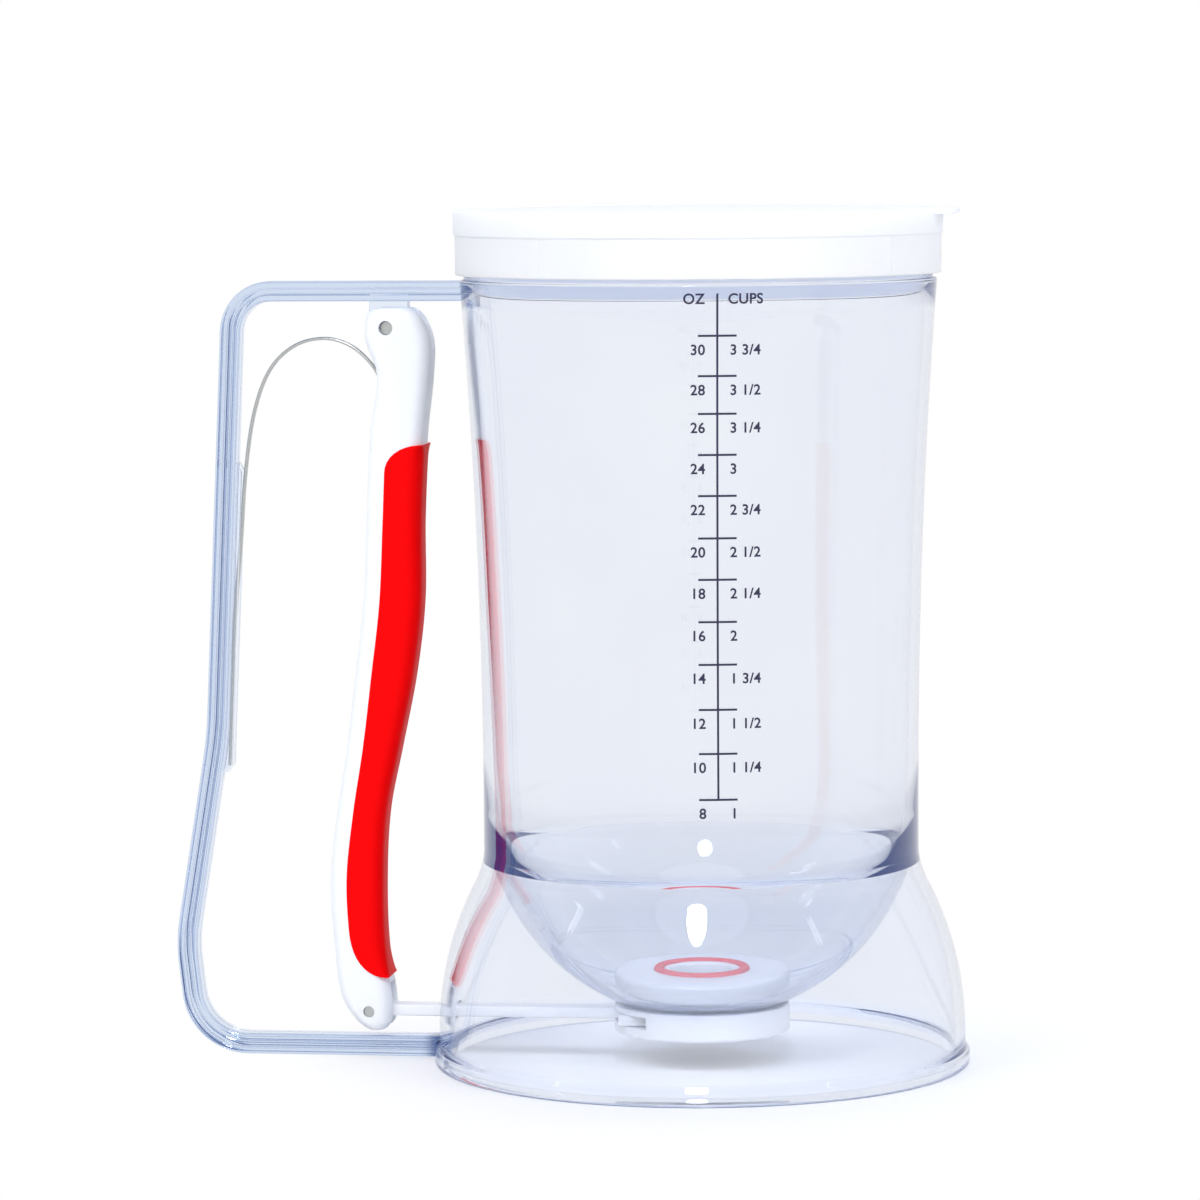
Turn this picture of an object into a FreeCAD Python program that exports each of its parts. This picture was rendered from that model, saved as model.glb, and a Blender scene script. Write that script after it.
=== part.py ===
import FreeCAD, Part
import math
import os
import Sketcher

# Batter dispenser: a clear jug with a funnel bottom, a squeeze lever in a hoop handle, and a sliding
# gate valve. Millimetres, +Z up, the handle points to -X. Sketches are drawn about the jug's axis,
# and every placement then moves the pieces so that the origin is under the middle of the whole object.

SIZES = {
    # Clear barrel
    "clear_wall": 2.2,
    "waist_radius": 47.0,
    "waist_height": 60.0,
    "shoulder_radius": 51.2,
    "shoulder_height": 169.8,
    "neck_radius": 50.3,
    "neck_height": 13.1,
    "neck_wall": 1.7,
    # Funnel bottom
    "bowl_radius": 46.7,
    "bowl_centre_height": 56.5,
    "floor_radius": 16.4,
    "weld_height": 43.8,
    # Base skirt
    "foot_wall_radius": 57.0,
    "foot_bend_height": 7.0,
    "skirt_flare_height": 47.4,
    "skirt_flare_radius": 16.6,
    "rim_lip": 1.0,
    "rim_height": 5.0,
    "slot_gap": 0.6,
    # Hoop handle, measured outwards from the jug's axis
    "bar_thickness": 4.4,
    "bar_depth": 6.5,
    "bar_rounding": 2.0,
    "bar_start": 40.0,
    "top_bar_height": 167.2,
    "top_corner_reach": 101.5,
    "top_corner_radius": 9.0,
    "upper_bend_reach": 106.1,
    "upper_bend_height": 70.0,
    "upper_bend_radius": 90.0,
    "lower_bend_reach": 113.5,
    "lower_bend_height": 25.0,
    "lower_bend_radius": 35.0,
    "base_corner_reach": 111.0,
    "base_corner_radius": 12.5,
    "bar_ground_gap": 0.4,
    # Guide ribs for the spring
    "guide_top_height": 128.0,
    "guide_end_height": 64.0,
    "guide_rise": 1.3,
    "guide_width": 1.2,
    # Pivot
    "pivot_reach": 67.2,
    "pivot_height": 159.3,
    "pivot_radius": 1.5,
    "lug_radius": 4.2,
    "lug_thickness": 3.4,
    "running_gap": 0.05,
    "side_gap": 0.4,
    # Lever
    "lever_depth": 11.0,
    "lever_foot_height": 6.25,
    "lever_rounding": 2.2,
    "pin_recess": 1.5,
    "grip_back_inset": 3.9,
    "grip_proud": 0.3,
    "grip_low_height": 18.0,
    "grip_top_height": 134.0,
    "grip_low_rounding": 8.5,
    "grip_top_rounding": 6.5,
    # Pull bar and gate
    "pull_bar_width": 5.0,
    "pull_bar_thickness": 2.4,
    "gate_height": 10.45,
    "gate_half_width": 12.0,
    "gate_overlap": 2.6,
    "eye_reach": 72.5,
    "eye_half_length": 2.8,
    "eye_rise": 3.0,
    "link_radius": 1.25,
    "link_play": 1.6,
    # Outlet valve
    "outlet_radius": 6.5,
    "seat_radius": 19.2,
    "seat_top_height": 20.0,
    "seat_lift": 0.3,
    "spigot_radius": 13.0,
    "seal_wall": 1.6,
    "seal_flange_radius": 10.4,
    "seal_proud": 0.7,
    "seal_flange_thickness": 1.5,
    "fit_gap": 0.1,
    "housing_radius": 19.0,
    "housing_floor": 2.2,
    "housing_drop": 0.9,
    "window_half_width": 16.0,
    "gasket_thickness": 0.8,
    "gasket_width": 2.6,
    # Lid
    "lid_radius": 52.5,
    "lid_band_height": 5.4,
    "lid_band_proud": 0.4,
    "lid_skirt_depth": 13.8,
    "lid_plate": 1.6,
    "lid_fit": 0.3,
    "plug_depth": 5.0,
    "plug_wall": 1.4,
    "tab_reach": 3.0,
    "tab_width": 22.0,
    "tab_thickness": 1.2,
    "tab_corner": 2.4,
    # Spring strip
    "strip_thickness": 0.7,
    "strip_width": 1.6,
    "strip_anchor_reach": 68.8,
    "strip_anchor_height": 147.2,
    "strip_rise_reach": 73.3,
    "strip_crown_height": 157.0,
    "strip_rise_radius": 6.5,
    "strip_fall_reach": 93.5,
    "strip_fall_radius": 11.0,
    "strip_knee_height": 126.0,
    "strip_knee_radius": 60.0,
    "strip_end_height": 63.7,
    "strip_rest_gap": 0.3,
}

# Lever stations from foot to head: share of the way from the foot datum to the pivot, and how far the
# back face and the jug-side face lie from the straight line between the link pin and the pivot
LEVER_STATIONS = (
    (0.000, 1.8, 4.6),
    (0.044, 6.4, 4.8),
    (0.116, 8.4, 2.6),
    (0.214, 9.7, 1.7),
    (0.312, 8.6, 2.1),
    (0.404, 6.8, 4.5),
    (0.508, 5.3, 7.2),
    (0.613, 3.9, 8.6),
    (0.730, 3.6, 8.2),
    (0.848, 3.3, 8.6),
    (0.933, 2.1, 9.6),
    (0.985, 4.9, 9.4),
    (1.025, 4.7, 6.6),
)


class Size:
    """A length that carries its number and the sheet expression that gives it."""

    def __init__(self, value, text):
        self.value = float(value)
        self.text = text

    def __add__(self, other):
        other = as_size(other)
        return Size(self.value + other.value, f"({self.text} + {other.text})")

    def __radd__(self, other):
        return as_size(other) + self

    def __sub__(self, other):
        other = as_size(other)
        return Size(self.value - other.value, f"({self.text} - {other.text})")

    def __rsub__(self, other):
        return as_size(other) - self

    def __mul__(self, other):
        other = as_size(other)
        return Size(self.value * other.value, f"({self.text} * {other.text})")

    def __rmul__(self, other):
        return as_size(other) * self

    def __truediv__(self, other):
        other = as_size(other)
        return Size(self.value / other.value, f"({self.text} / {other.text})")

    def __neg__(self):
        return Size(-self.value, f"(0 - {self.text})")


def as_size(number):
    return number if isinstance(number, Size) else Size(number, repr(number))


def root(size):
    return Size(math.sqrt(size.value), f"sqrt({size.text})")


def other_leg(hypotenuse, leg):
    """The other short side of a right triangle."""
    return root(hypotenuse * hypotenuse - leg * leg)


doc = FreeCAD.newDocument("batter_dispenser")
sheet = doc.addObject("Spreadsheet::Sheet", "sizes")


def fill_sheet():
    """Writes every driving dimension to the sheet and gives it back as a Size."""
    sizes = {}
    entries = dict(SIZES)
    for number, (share, back, front) in enumerate(LEVER_STATIONS):
        entries[f"lever_share_{number}"] = share
        entries[f"lever_back_{number}"] = back
        entries[f"lever_front_{number}"] = front
    for row, (alias, value) in enumerate(entries.items(), start=1):
        sheet.set(f"A{row}", alias)
        sheet.set(f"B{row}", str(value))
        sheet.setAlias(f"B{row}", alias)
        sizes[alias] = Size(value, f"sizes.{alias}")
    doc.recompute()
    return sizes


s = fill_sheet()

# Levels and radii that follow from the driving dimensions
foot_radius = s["foot_wall_radius"] + s["rim_lip"]
base_bar_height = s["bar_ground_gap"] + s["bar_thickness"] / 2


def hoop_reach():
    """Furthest reach of the hoop: the outer face of its lower bend, which rounds the route's corner."""
    drop_above = s["upper_bend_height"] - s["lower_bend_height"]
    lean_above = s["lower_bend_reach"] - s["upper_bend_reach"]
    drop_below = s["lower_bend_height"] - base_bar_height
    lean_below = s["lower_bend_reach"] - s["base_corner_reach"]
    run_above = root(drop_above * drop_above + lean_above * lean_above)
    run_below = root(drop_below * drop_below + lean_below * lean_below)
    cosine = (drop_above * drop_below - lean_above * lean_below) / (run_above * run_below)
    inwards = (drop_above / run_above + drop_below / run_below) / (1 + cosine)
    return s["lower_bend_reach"] + s["bar_thickness"] / 2 + s["lower_bend_radius"] * (1 - inwards)


axis_x = (hoop_reach() - foot_radius) / 2
flare_step = s["foot_wall_radius"] - s["waist_radius"]
flare_height = s["skirt_flare_height"]
flare_rise = flare_height - s["foot_bend_height"]
arc_sum = (flare_rise * flare_rise + flare_step * flare_step) / (2 * flare_step)
bulge_radius = arc_sum - s["skirt_flare_radius"]
flare_centre = s["waist_radius"] + s["skirt_flare_radius"]
bulge_centre = s["foot_wall_radius"] - bulge_radius
turn_share = bulge_radius / arc_sum
turn_radius = bulge_centre + (flare_centre - bulge_centre) * turn_share
turn_height = s["foot_bend_height"] + flare_rise * turn_share
bowl_inner = s["bowl_radius"] - s["clear_wall"]
floor_under = s["bowl_centre_height"] - other_leg(s["bowl_radius"], s["floor_radius"])
floor_top = floor_under + s["clear_wall"]
jug_rim = s["shoulder_height"] + s["neck_height"]
neck_inner = s["neck_radius"] - s["neck_wall"]
gate_top = s["gate_height"] + s["pull_bar_thickness"] / 2
gate_under = s["gate_height"] - s["pull_bar_thickness"] / 2
floor_inner_radius = other_leg(bowl_inner, s["bowl_centre_height"] - floor_top)
housing_top = floor_under - s["gasket_thickness"]
housing_under = gate_under - s["fit_gap"] - s["housing_floor"]


def turned_radius(centre, radius, centre_height, height):
    """Radius of a skirt arc that bends outwards, at a height."""
    return centre - other_leg(radius, centre_height - height)


weld_outer = turned_radius(flare_centre, s["skirt_flare_radius"], flare_height, s["weld_height"])


def bind(target, path, size):
    target.setExpression(path, size.text)


def new_body(name):
    body = doc.addObject("PartDesign::Body", name)
    body.Label = name
    return body


def place(piece):
    """Moves a finished piece from the jug's axis to the part's own frame."""
    bind(piece, "Placement.Base.x", axis_x)


def origin_feature(body, role):
    return next(item for item in body.Origin.OriginFeatures if item.Role == role)


def new_sketch(body, name, plane="XZ_Plane", offset=None):
    sketch = body.newObject("Sketcher::SketchObject", name)
    sketch.AttachmentSupport = [(origin_feature(body, plane), "")]
    sketch.MapMode = "FlatFace"
    if offset is not None:
        sketch.AttachmentOffset = FreeCAD.Placement(
            FreeCAD.Vector(0, 0, offset.value), FreeCAD.Rotation())
        bind(sketch, "AttachmentOffset.Base.z", offset)
    return sketch


def vector(point):
    return FreeCAD.Vector(point[0].value, point[1].value, 0)


def pin_point(sketch, index, end, point):
    """Holds one point of a sketch edge at sheet-driven coordinates."""
    for kind, size in (("DistanceX", point[0]), ("DistanceY", point[1])):
        number = sketch.addConstraint(Sketcher.Constraint(kind, -1, 1, index, end, size.value))
        bind(sketch, f"Constraints[{number}]", size)


def draw_outline(sketch, steps):
    """Closed outline. Each step is a corner, or a corner with the centre of the arc that leads to the
    next corner and the sense of that arc: (point, centre, clockwise)."""
    steps = [step if len(step) == 3 else (step, None, False) for step in steps]
    steps = [((as_size(p[0]), as_size(p[1])), c, cw) for p, c, cw in steps]
    count = len(steps)
    for number, (point, centre, clockwise) in enumerate(steps):
        following = steps[(number + 1) % count][0]
        if centre is None:
            sketch.addGeometry(Part.LineSegment(vector(point), vector(following)), False)
            continue
        centre = (as_size(centre[0]), as_size(centre[1]))
        middle = vector(centre)
        first, last = (following, point) if clockwise else (point, following)
        start = vector(first) - middle
        stop = vector(last) - middle
        circle = Part.Circle(middle, FreeCAD.Vector(0, 0, 1), start.Length)
        arc = Part.ArcOfCircle(circle, math.atan2(start.y, start.x), math.atan2(stop.y, stop.x))
        sketch.addGeometry(arc, False)
    for number, (point, centre, clockwise) in enumerate(steps):
        before = (number - 1) % count
        end_before = 1 if steps[before][2] else 2
        start_here = 2 if clockwise else 1
        sketch.addConstraint(
            Sketcher.Constraint("Coincident", before, end_before, number, start_here))
        pin_point(sketch, number, start_here, point)
        if centre is not None:
            height = as_size(centre[1])
            held = sketch.addConstraint(
                Sketcher.Constraint("DistanceY", -1, 1, number, 3, height.value))
            bind(sketch, f"Constraints[{held}]", height)


def draw_rectangle(sketch, low, high):
    draw_outline(sketch, [
        (low[0], low[1]), (high[0], low[1]), (high[0], high[1]), (low[0], high[1])])


def draw_circle(sketch, centre, radius):
    circle = Part.Circle(vector(centre), FreeCAD.Vector(0, 0, 1), radius.value)
    number = sketch.addGeometry(circle, False)
    pin_point(sketch, number, 3, centre)
    held = sketch.addConstraint(Sketcher.Constraint("Radius", number, radius.value))
    bind(sketch, f"Constraints[{held}]", radius)


def draw_rounded_box(sketch, low, high, rounding):
    """Rectangle with four round corners."""
    (x0, y0), (x1, y1) = low, high
    r = rounding
    draw_outline(sketch, [
        (x0 + r, y0),
        ((x1 - r, y0), (x1 - r, y0 + r), False),
        (x1, y0 + r),
        ((x1, y1 - r), (x1 - r, y1 - r), False),
        (x1 - r, y1),
        ((x0 + r, y1), (x0 + r, y1 - r), False),
        (x0, y1 - r),
        ((x0, y0 + r), (x0 + r, y0 + r), False)])


def draw_route(sketch, corners, radii):
    """Open route of straight runs through the corner points, with a tangent arc at each turn."""
    points = [vector(corner) for corner in corners]
    cuts = []
    for number, radius in enumerate(radii, start=1):
        back = (points[number - 1] - points[number]).normalize()
        ahead = (points[number + 1] - points[number]).normalize()
        turn = math.pi - back.getAngle(ahead)
        length = radius.value * math.tan(turn / 2)
        inward = (back + ahead).normalize()
        reach = radius.value / math.cos(turn / 2)
        cuts.append((points[number] + back * length, points[number] + ahead * length,
                     points[number] + inward * reach))
    runs = []
    for number in range(len(points) - 1):
        start = points[number] if number == 0 else cuts[number - 1][1]
        stop = cuts[number][0] if number < len(cuts) else points[-1]
        runs.append(sketch.addGeometry(Part.LineSegment(start, stop), False))
    for number, (start, stop, centre) in enumerate(cuts):
        a = start - centre
        b = stop - centre
        counter = a.x * b.y - a.y * b.x > 0
        first, last = (a, b) if counter else (b, a)
        circle = Part.Circle(centre, FreeCAD.Vector(0, 0, 1), radii[number].value)
        arc = sketch.addGeometry(Part.ArcOfCircle(
            circle, math.atan2(first.y, first.x), math.atan2(last.y, last.x)), False)
        near, far = (1, 2) if counter else (2, 1)
        sketch.addConstraint(Sketcher.Constraint("Tangent", runs[number], 2, arc, near))
        sketch.addConstraint(Sketcher.Constraint("Tangent", runs[number + 1], 1, arc, far))
        held = sketch.addConstraint(Sketcher.Constraint("Radius", arc, radii[number].value))
        bind(sketch, f"Constraints[{held}]", radii[number])
    pin_point(sketch, runs[0], 1, corners[0])
    pin_point(sketch, runs[-1], 2, corners[-1])
    for number in range(1, len(corners) - 1):
        mark = sketch.addGeometry(Part.Point(points[number]), True)
        pin_point(sketch, mark, 1, corners[number])
        sketch.addConstraint(Sketcher.Constraint("PointOnObject", mark, 1, runs[number - 1]))
        sketch.addConstraint(Sketcher.Constraint("PointOnObject", mark, 1, runs[number]))


def turn_solid(body, name, steps, cut=False):
    """Revolves an outline in the XZ plane about the jug's axis."""
    sketch = new_sketch(body, name + "_outline")
    draw_outline(sketch, steps)
    feature = body.newObject("PartDesign::Groove" if cut else "PartDesign::Revolution", name)
    feature.Profile = sketch
    feature.ReferenceAxis = (origin_feature(body, "Z_Axis"), [""])
    feature.Angle = 360
    return feature


def pad(body, name, sketch, length, midplane=True):
    feature = body.newObject("PartDesign::Pad", name)
    feature.Profile = sketch
    feature.Length = length.value
    bind(feature, "Length", length)
    feature.Midplane = midplane
    return feature


def pocket(body, name, sketch, length, midplane=True):
    feature = body.newObject("PartDesign::Pocket", name)
    feature.Profile = sketch
    feature.Length = length.value
    bind(feature, "Length", length)
    feature.Midplane = midplane
    return feature


def pipe(body, name, section, route):
    feature = body.newObject("PartDesign::AdditivePipe", name)
    feature.Profile = section
    feature.Spine = (route, [])
    return feature


def loft(body, name, sections):
    feature = body.newObject("PartDesign::AdditiveLoft", name)
    feature.Profile = sections[0]
    feature.Sections = sections[1:]
    return feature


def outer_curve(upright):
    """The skirt's outer curve from the foot wall up to where it is level with the barrel."""
    return [
        ((s["foot_wall_radius"], s["foot_bend_height"]),
         (bulge_centre, s["foot_bend_height"]), False),
        ((turn_radius, turn_height), (flare_centre, flare_height), True),
        upright]


def foot_steps():
    return [
        (foot_radius, 0),
        (foot_radius, s["rim_height"] - s["rim_lip"]),
        (s["foot_wall_radius"], s["rim_height"])]


def side_arc_centre():
    """The barrel's side is one long arc, upright at the waist, that leans out to the shoulder."""
    rise = s["shoulder_height"] - s["waist_height"]
    lean = s["shoulder_radius"] - s["waist_radius"]
    return s["waist_radius"] + (rise * rise + lean * lean) / (2 * lean)


def make_jug_barrel():
    """Upper barrel with the neck that the lid sits on."""
    body = new_body("jug_barrel")
    wall = s["clear_wall"]
    side = (side_arc_centre(), s["waist_height"])
    turn_solid(body, "barrel_shell", [
        ((s["waist_radius"], s["waist_height"]), side, True),
        (s["shoulder_radius"], s["shoulder_height"]),
        (s["neck_radius"], s["shoulder_height"]),
        (s["neck_radius"], jug_rim),
        (neck_inner, jug_rim),
        (neck_inner, s["shoulder_height"]),
        ((s["shoulder_radius"] - wall, s["shoulder_height"]), side, False),
        (s["waist_radius"] - wall, s["waist_height"])])
    place(body)
    return body


def make_funnel():
    """Round funnel bottom with the weld ring that meets the base."""
    body = new_body("funnel")
    wall = s["clear_wall"]
    middle = (as_size(0), s["bowl_centre_height"])
    hole = s["spigot_radius"] + s["fit_gap"]
    weld_inner = other_leg(s["bowl_radius"], s["bowl_centre_height"] - s["weld_height"])
    turn_solid(body, "funnel_shell", [
        (hole, floor_under),
        ((s["floor_radius"], floor_under), middle, False),
        (weld_inner, s["weld_height"]),
        ((weld_outer, s["weld_height"]), (flare_centre, flare_height), True),
        (s["waist_radius"], flare_height),
        (s["waist_radius"], s["waist_height"]),
        (s["waist_radius"] - wall, s["waist_height"]),
        ((bowl_inner, s["bowl_centre_height"]), middle, True),
        (floor_inner_radius, floor_top),
        (hole, floor_top)])
    place(body)
    return body


def make_base_skirt():
    """Flared base with its foot rim, and a slot where the pull bar comes through."""
    body = new_body("base_skirt")
    wall = s["clear_wall"]
    inner_share = (bulge_radius - wall) / bulge_radius
    turn_inner = (bulge_centre + (turn_radius - bulge_centre) * inner_share,
                  s["foot_bend_height"] + (turn_height - s["foot_bend_height"]) * inner_share)
    weld_inner = turned_radius(
        flare_centre, s["skirt_flare_radius"] + wall, flare_height, s["weld_height"])
    foot_inner = s["foot_wall_radius"] - wall
    steps = [(foot_inner, 0)] + foot_steps()
    steps += outer_curve((weld_outer, s["weld_height"]))
    steps += [
        ((weld_inner, s["weld_height"]), (flare_centre, flare_height), False),
        (turn_inner, (bulge_centre, s["foot_bend_height"]), True),
        (foot_inner, s["foot_bend_height"])]
    turn_solid(body, "skirt_shell", steps)
    slot = new_sketch(body, "bar_slot_outline", "YZ_Plane", -s["foot_wall_radius"])
    half = s["pull_bar_width"] / 2 + s["slot_gap"]
    draw_rectangle(slot, (-half, gate_under - s["slot_gap"]), (half, gate_top + s["slot_gap"]))
    pocket(body, "bar_slot", slot, s["foot_wall_radius"])
    place(body)
    return body


def bar_reach_at(height):
    """Reach of the hoop's upright, on its centre line, above its upper bend."""
    run = s["top_bar_height"] - s["upper_bend_height"]
    share = (s["top_bar_height"] - height) / run
    return s["top_corner_reach"] + (s["upper_bend_reach"] - s["top_corner_reach"]) * share


def make_handle_frame():
    """Hoop handle: a rounded bar bent in one plane, with the pivot lug and the spring's guide ribs."""
    body = new_body("handle_frame")
    route = new_sketch(body, "hoop_route")
    draw_route(route, [
        (-s["bar_start"], s["top_bar_height"]),
        (-s["top_corner_reach"], s["top_bar_height"]),
        (-s["upper_bend_reach"], s["upper_bend_height"]),
        (-s["lower_bend_reach"], s["lower_bend_height"]),
        (-s["base_corner_reach"], base_bar_height),
        (-s["bar_start"], base_bar_height)],
        [s["top_corner_radius"], s["upper_bend_radius"], s["lower_bend_radius"],
         s["base_corner_radius"]])
    section = new_sketch(body, "hoop_section", "YZ_Plane", -s["bar_start"])
    half_depth = s["bar_depth"] / 2
    half_thick = s["bar_thickness"] / 2
    draw_rounded_box(section, (-half_depth, s["top_bar_height"] - half_thick),
                     (half_depth, s["top_bar_height"] + half_thick), s["bar_rounding"])
    pipe(body, "hoop", section, route)

    lug = new_sketch(body, "lug_outline")
    reach, level, radius = s["pivot_reach"], s["pivot_height"], s["lug_radius"]
    draw_outline(lug, [
        ((-(reach + radius), level), (-reach, level), False),
        (-(reach - radius), level),
        (-(reach - radius), s["top_bar_height"]),
        (-(reach + radius), s["top_bar_height"])])
    pad(body, "pivot_lug", lug, s["lug_thickness"])

    inner_top = bar_reach_at(s["guide_top_height"]) - half_thick
    inner_low = bar_reach_at(s["guide_end_height"]) - half_thick
    ribs = new_sketch(body, "guide_outline")
    draw_outline(ribs, [
        (-(inner_low + half_thick), s["guide_end_height"] - s["guide_rise"]),
        (-(inner_low - s["guide_rise"]), s["guide_end_height"]),
        (-(inner_top - s["guide_rise"]), s["guide_top_height"]),
        (-(inner_top + half_thick), s["guide_top_height"] + s["guide_rise"])])
    channel_width = s["strip_width"] + 2 * s["side_gap"]
    pad(body, "guide_ribs", ribs, channel_width + 2 * s["guide_width"])
    channel = new_sketch(body, "channel_outline")
    over = 2 * s["guide_rise"]
    draw_outline(channel, [
        (-inner_low, s["guide_end_height"] - over),
        (-(inner_low - over), s["guide_end_height"] - over),
        (-(inner_top - over), s["guide_top_height"] + over),
        (-inner_top, s["guide_top_height"] + over)])
    pocket(body, "spring_channel", channel, channel_width)

    bore = new_sketch(body, "pin_bore_outline")
    draw_circle(bore, (-reach, level), s["pivot_radius"])
    pocket(body, "pin_bore", bore, s["bar_depth"])

    above = s["shoulder_height"] + s["neck_height"]
    below = -s["rim_lip"]
    steps = [(0, below), (foot_radius, below)] + foot_steps()[1:]
    steps += outer_curve((s["waist_radius"], flare_height))
    steps += [
        ((s["waist_radius"], s["waist_height"]), (side_arc_centre(), s["waist_height"]), True),
        (s["shoulder_radius"], s["shoulder_height"]),
        (s["shoulder_radius"], above),
        (0, above)]
    turn_solid(body, "jug_seat", steps, cut=True)
    place(body)
    return body


def make_pin(name, reach, level, radius, length):
    body = new_body(name)
    outline = new_sketch(body, name + "_outline")
    draw_circle(outline, (-reach, level), radius)
    pad(body, name + "_rod", outline, length)
    place(body)
    return body


def lever_line(share):
    """Height and reach on the straight line between the link pin and the pivot."""
    datum = s["lever_foot_height"]
    height = datum + (s["pivot_height"] - datum) * share
    reach = s["eye_reach"] + (s["pivot_reach"] - s["eye_reach"]) * share
    return height, reach


def lever_stations():
    """Height, back reach and jug-side reach of every lever station."""
    stations = []
    for number in range(len(LEVER_STATIONS)):
        height, reach = lever_line(s[f"lever_share_{number}"])
        stations.append((height, reach + s[f"lever_back_{number}"],
                         reach - s[f"lever_front_{number}"]))
    return stations


def station_between(stations, height):
    """Back and jug-side reach at a height between two stations."""
    for low, high in zip(stations, stations[1:]):
        if low[0].value <= height.value <= high[0].value:
            share = (height - low[0]) / (high[0] - low[0])
            back = low[1] + (high[1] - low[1]) * share
            front = low[2] + (high[2] - low[2]) * share
            return height, back, front
    raise ValueError("height outside the lever")


def lever_loft(body, name, proud):
    """Rounded sections stacked from foot to head."""
    half = s["lever_depth"] / 2 + proud
    sections = []
    for number, (height, back, front) in enumerate(lever_stations()):
        section = new_sketch(body, f"{name}_{number}", "XY_Plane", height)
        draw_rounded_box(section, (-back, -half), (-(front - proud), half), s["lever_rounding"])
        sections.append(section)
    loft(body, name, sections)


def make_lever_blank():
    """Lever before the grip's seat is cut: slots for the lug, the pull bar and the spring, two bores."""
    body = new_body("lever_blank")
    lever_loft(body, "lever_stack", as_size(0))
    reach, level = s["pivot_reach"], s["pivot_height"]
    above = level + 2 * s["lug_radius"]
    fork_half = s["lug_radius"] + s["side_gap"]
    head = new_sketch(body, "head_slot_outline")
    past_faces = 2 * s["lever_depth"]
    draw_rectangle(head, (-(reach + past_faces), level - fork_half),
                   (-(reach - past_faces), above))
    pocket(body, "head_slot", head, s["lug_thickness"] + 2 * s["side_gap"])

    foot = new_sketch(body, "foot_slot_outline")
    slot_back = s["eye_reach"] + s["eye_half_length"] + 2 * s["side_gap"]
    draw_rectangle(foot, (-slot_back, 0),
                   (-(s["eye_reach"] - past_faces),
                    gate_top + s["eye_rise"] + s["link_play"] + s["side_gap"]))
    pocket(body, "foot_slot", foot, s["pull_bar_width"] + 2 * s["side_gap"])

    anchor = new_sketch(body, "anchor_slot_outline")
    room = s["strip_thickness"] / 2 + 2 * s["side_gap"]
    anchor_low = s["strip_anchor_height"] - room
    draw_outline(anchor, [
        (-(s["strip_fall_reach"]), anchor_low),
        (-(s["strip_anchor_reach"] - room), anchor_low),
        (-(s["strip_rise_reach"] - room), s["strip_crown_height"] + room),
        (-(s["strip_fall_reach"]), s["strip_crown_height"] + room)])
    pocket(body, "anchor_slot", anchor, s["strip_width"] + 2 * s["side_gap"])

    bore = new_sketch(body, "pivot_bore_outline")
    draw_circle(bore, (-reach, level), s["pivot_radius"] + s["running_gap"])
    pocket(body, "pivot_bore", bore, 2 * s["lever_depth"])
    link = new_sketch(body, "link_bore_outline")
    draw_circle(link, (-s["eye_reach"], s["gate_height"]), s["link_radius"])
    pocket(body, "link_bore", link, 2 * s["lever_depth"])
    return body


def make_grip_core():
    """The space that the grip takes: in front of a line set in from the lever's back, with round ends."""
    stations = lever_stations()
    low, top = s["grip_low_height"], s["grip_top_height"]
    inset = s["grip_back_inset"]
    half = s["lever_depth"]
    stack = new_body("core_blank")
    sections = []
    for number, (height, back, front) in enumerate(stations):
        section = new_sketch(stack, f"core_{number}", "XY_Plane", height)
        draw_rectangle(section, (-(back - inset), -half), (-(front - half), half))
        sections.append(section)
    loft(stack, "core_stack", sections)

    ends = new_body("core_ends")
    outline = new_sketch(ends, "core_ends_outline")
    low_round, top_round = s["grip_low_rounding"], s["grip_top_rounding"]
    low_corner = station_between(stations, low + low_round)
    top_corner = station_between(stations, top - top_round)
    x_low = -(low_corner[1] - inset)
    x_top = -(top_corner[1] - inset)
    behind = -(s["eye_reach"] + 2 * half)
    before = -(s["pivot_reach"] - 2 * half)
    draw_outline(outline, [
        (before, low),
        (before, top),
        ((x_top + top_round, top), (x_top + top_round, top - top_round), False),
        (x_top, top - top_round),
        (behind, top - top_round),
        (behind, low + low_round),
        ((x_low, low + low_round), (x_low + low_round, low + low_round), False),
        (x_low + low_round, low)])
    pad(ends, "core_ends_pad", outline, 3 * half)
    core = doc.addObject("Part::Common", "grip_core")
    core.Base = stack
    core.Tool = ends
    return core


def make_lever_and_grip():
    """Splits the lever between the hard body and the soft grip that stands a little proud of it."""
    blank = make_lever_blank()
    core = make_grip_core()
    soft = new_body("grip_blank")
    lever_loft(soft, "grip_stack", s["grip_proud"])
    lever = doc.addObject("Part::Cut", "lever")
    lever.Base = blank
    lever.Tool = core
    lever.Label = "lever"
    grip = doc.addObject("Part::Common", "lever_grip")
    grip.Base = soft
    grip.Tool = core
    grip.Label = "lever_grip"
    for piece in (lever, grip):
        place(piece)
    return [lever, grip]


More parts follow.
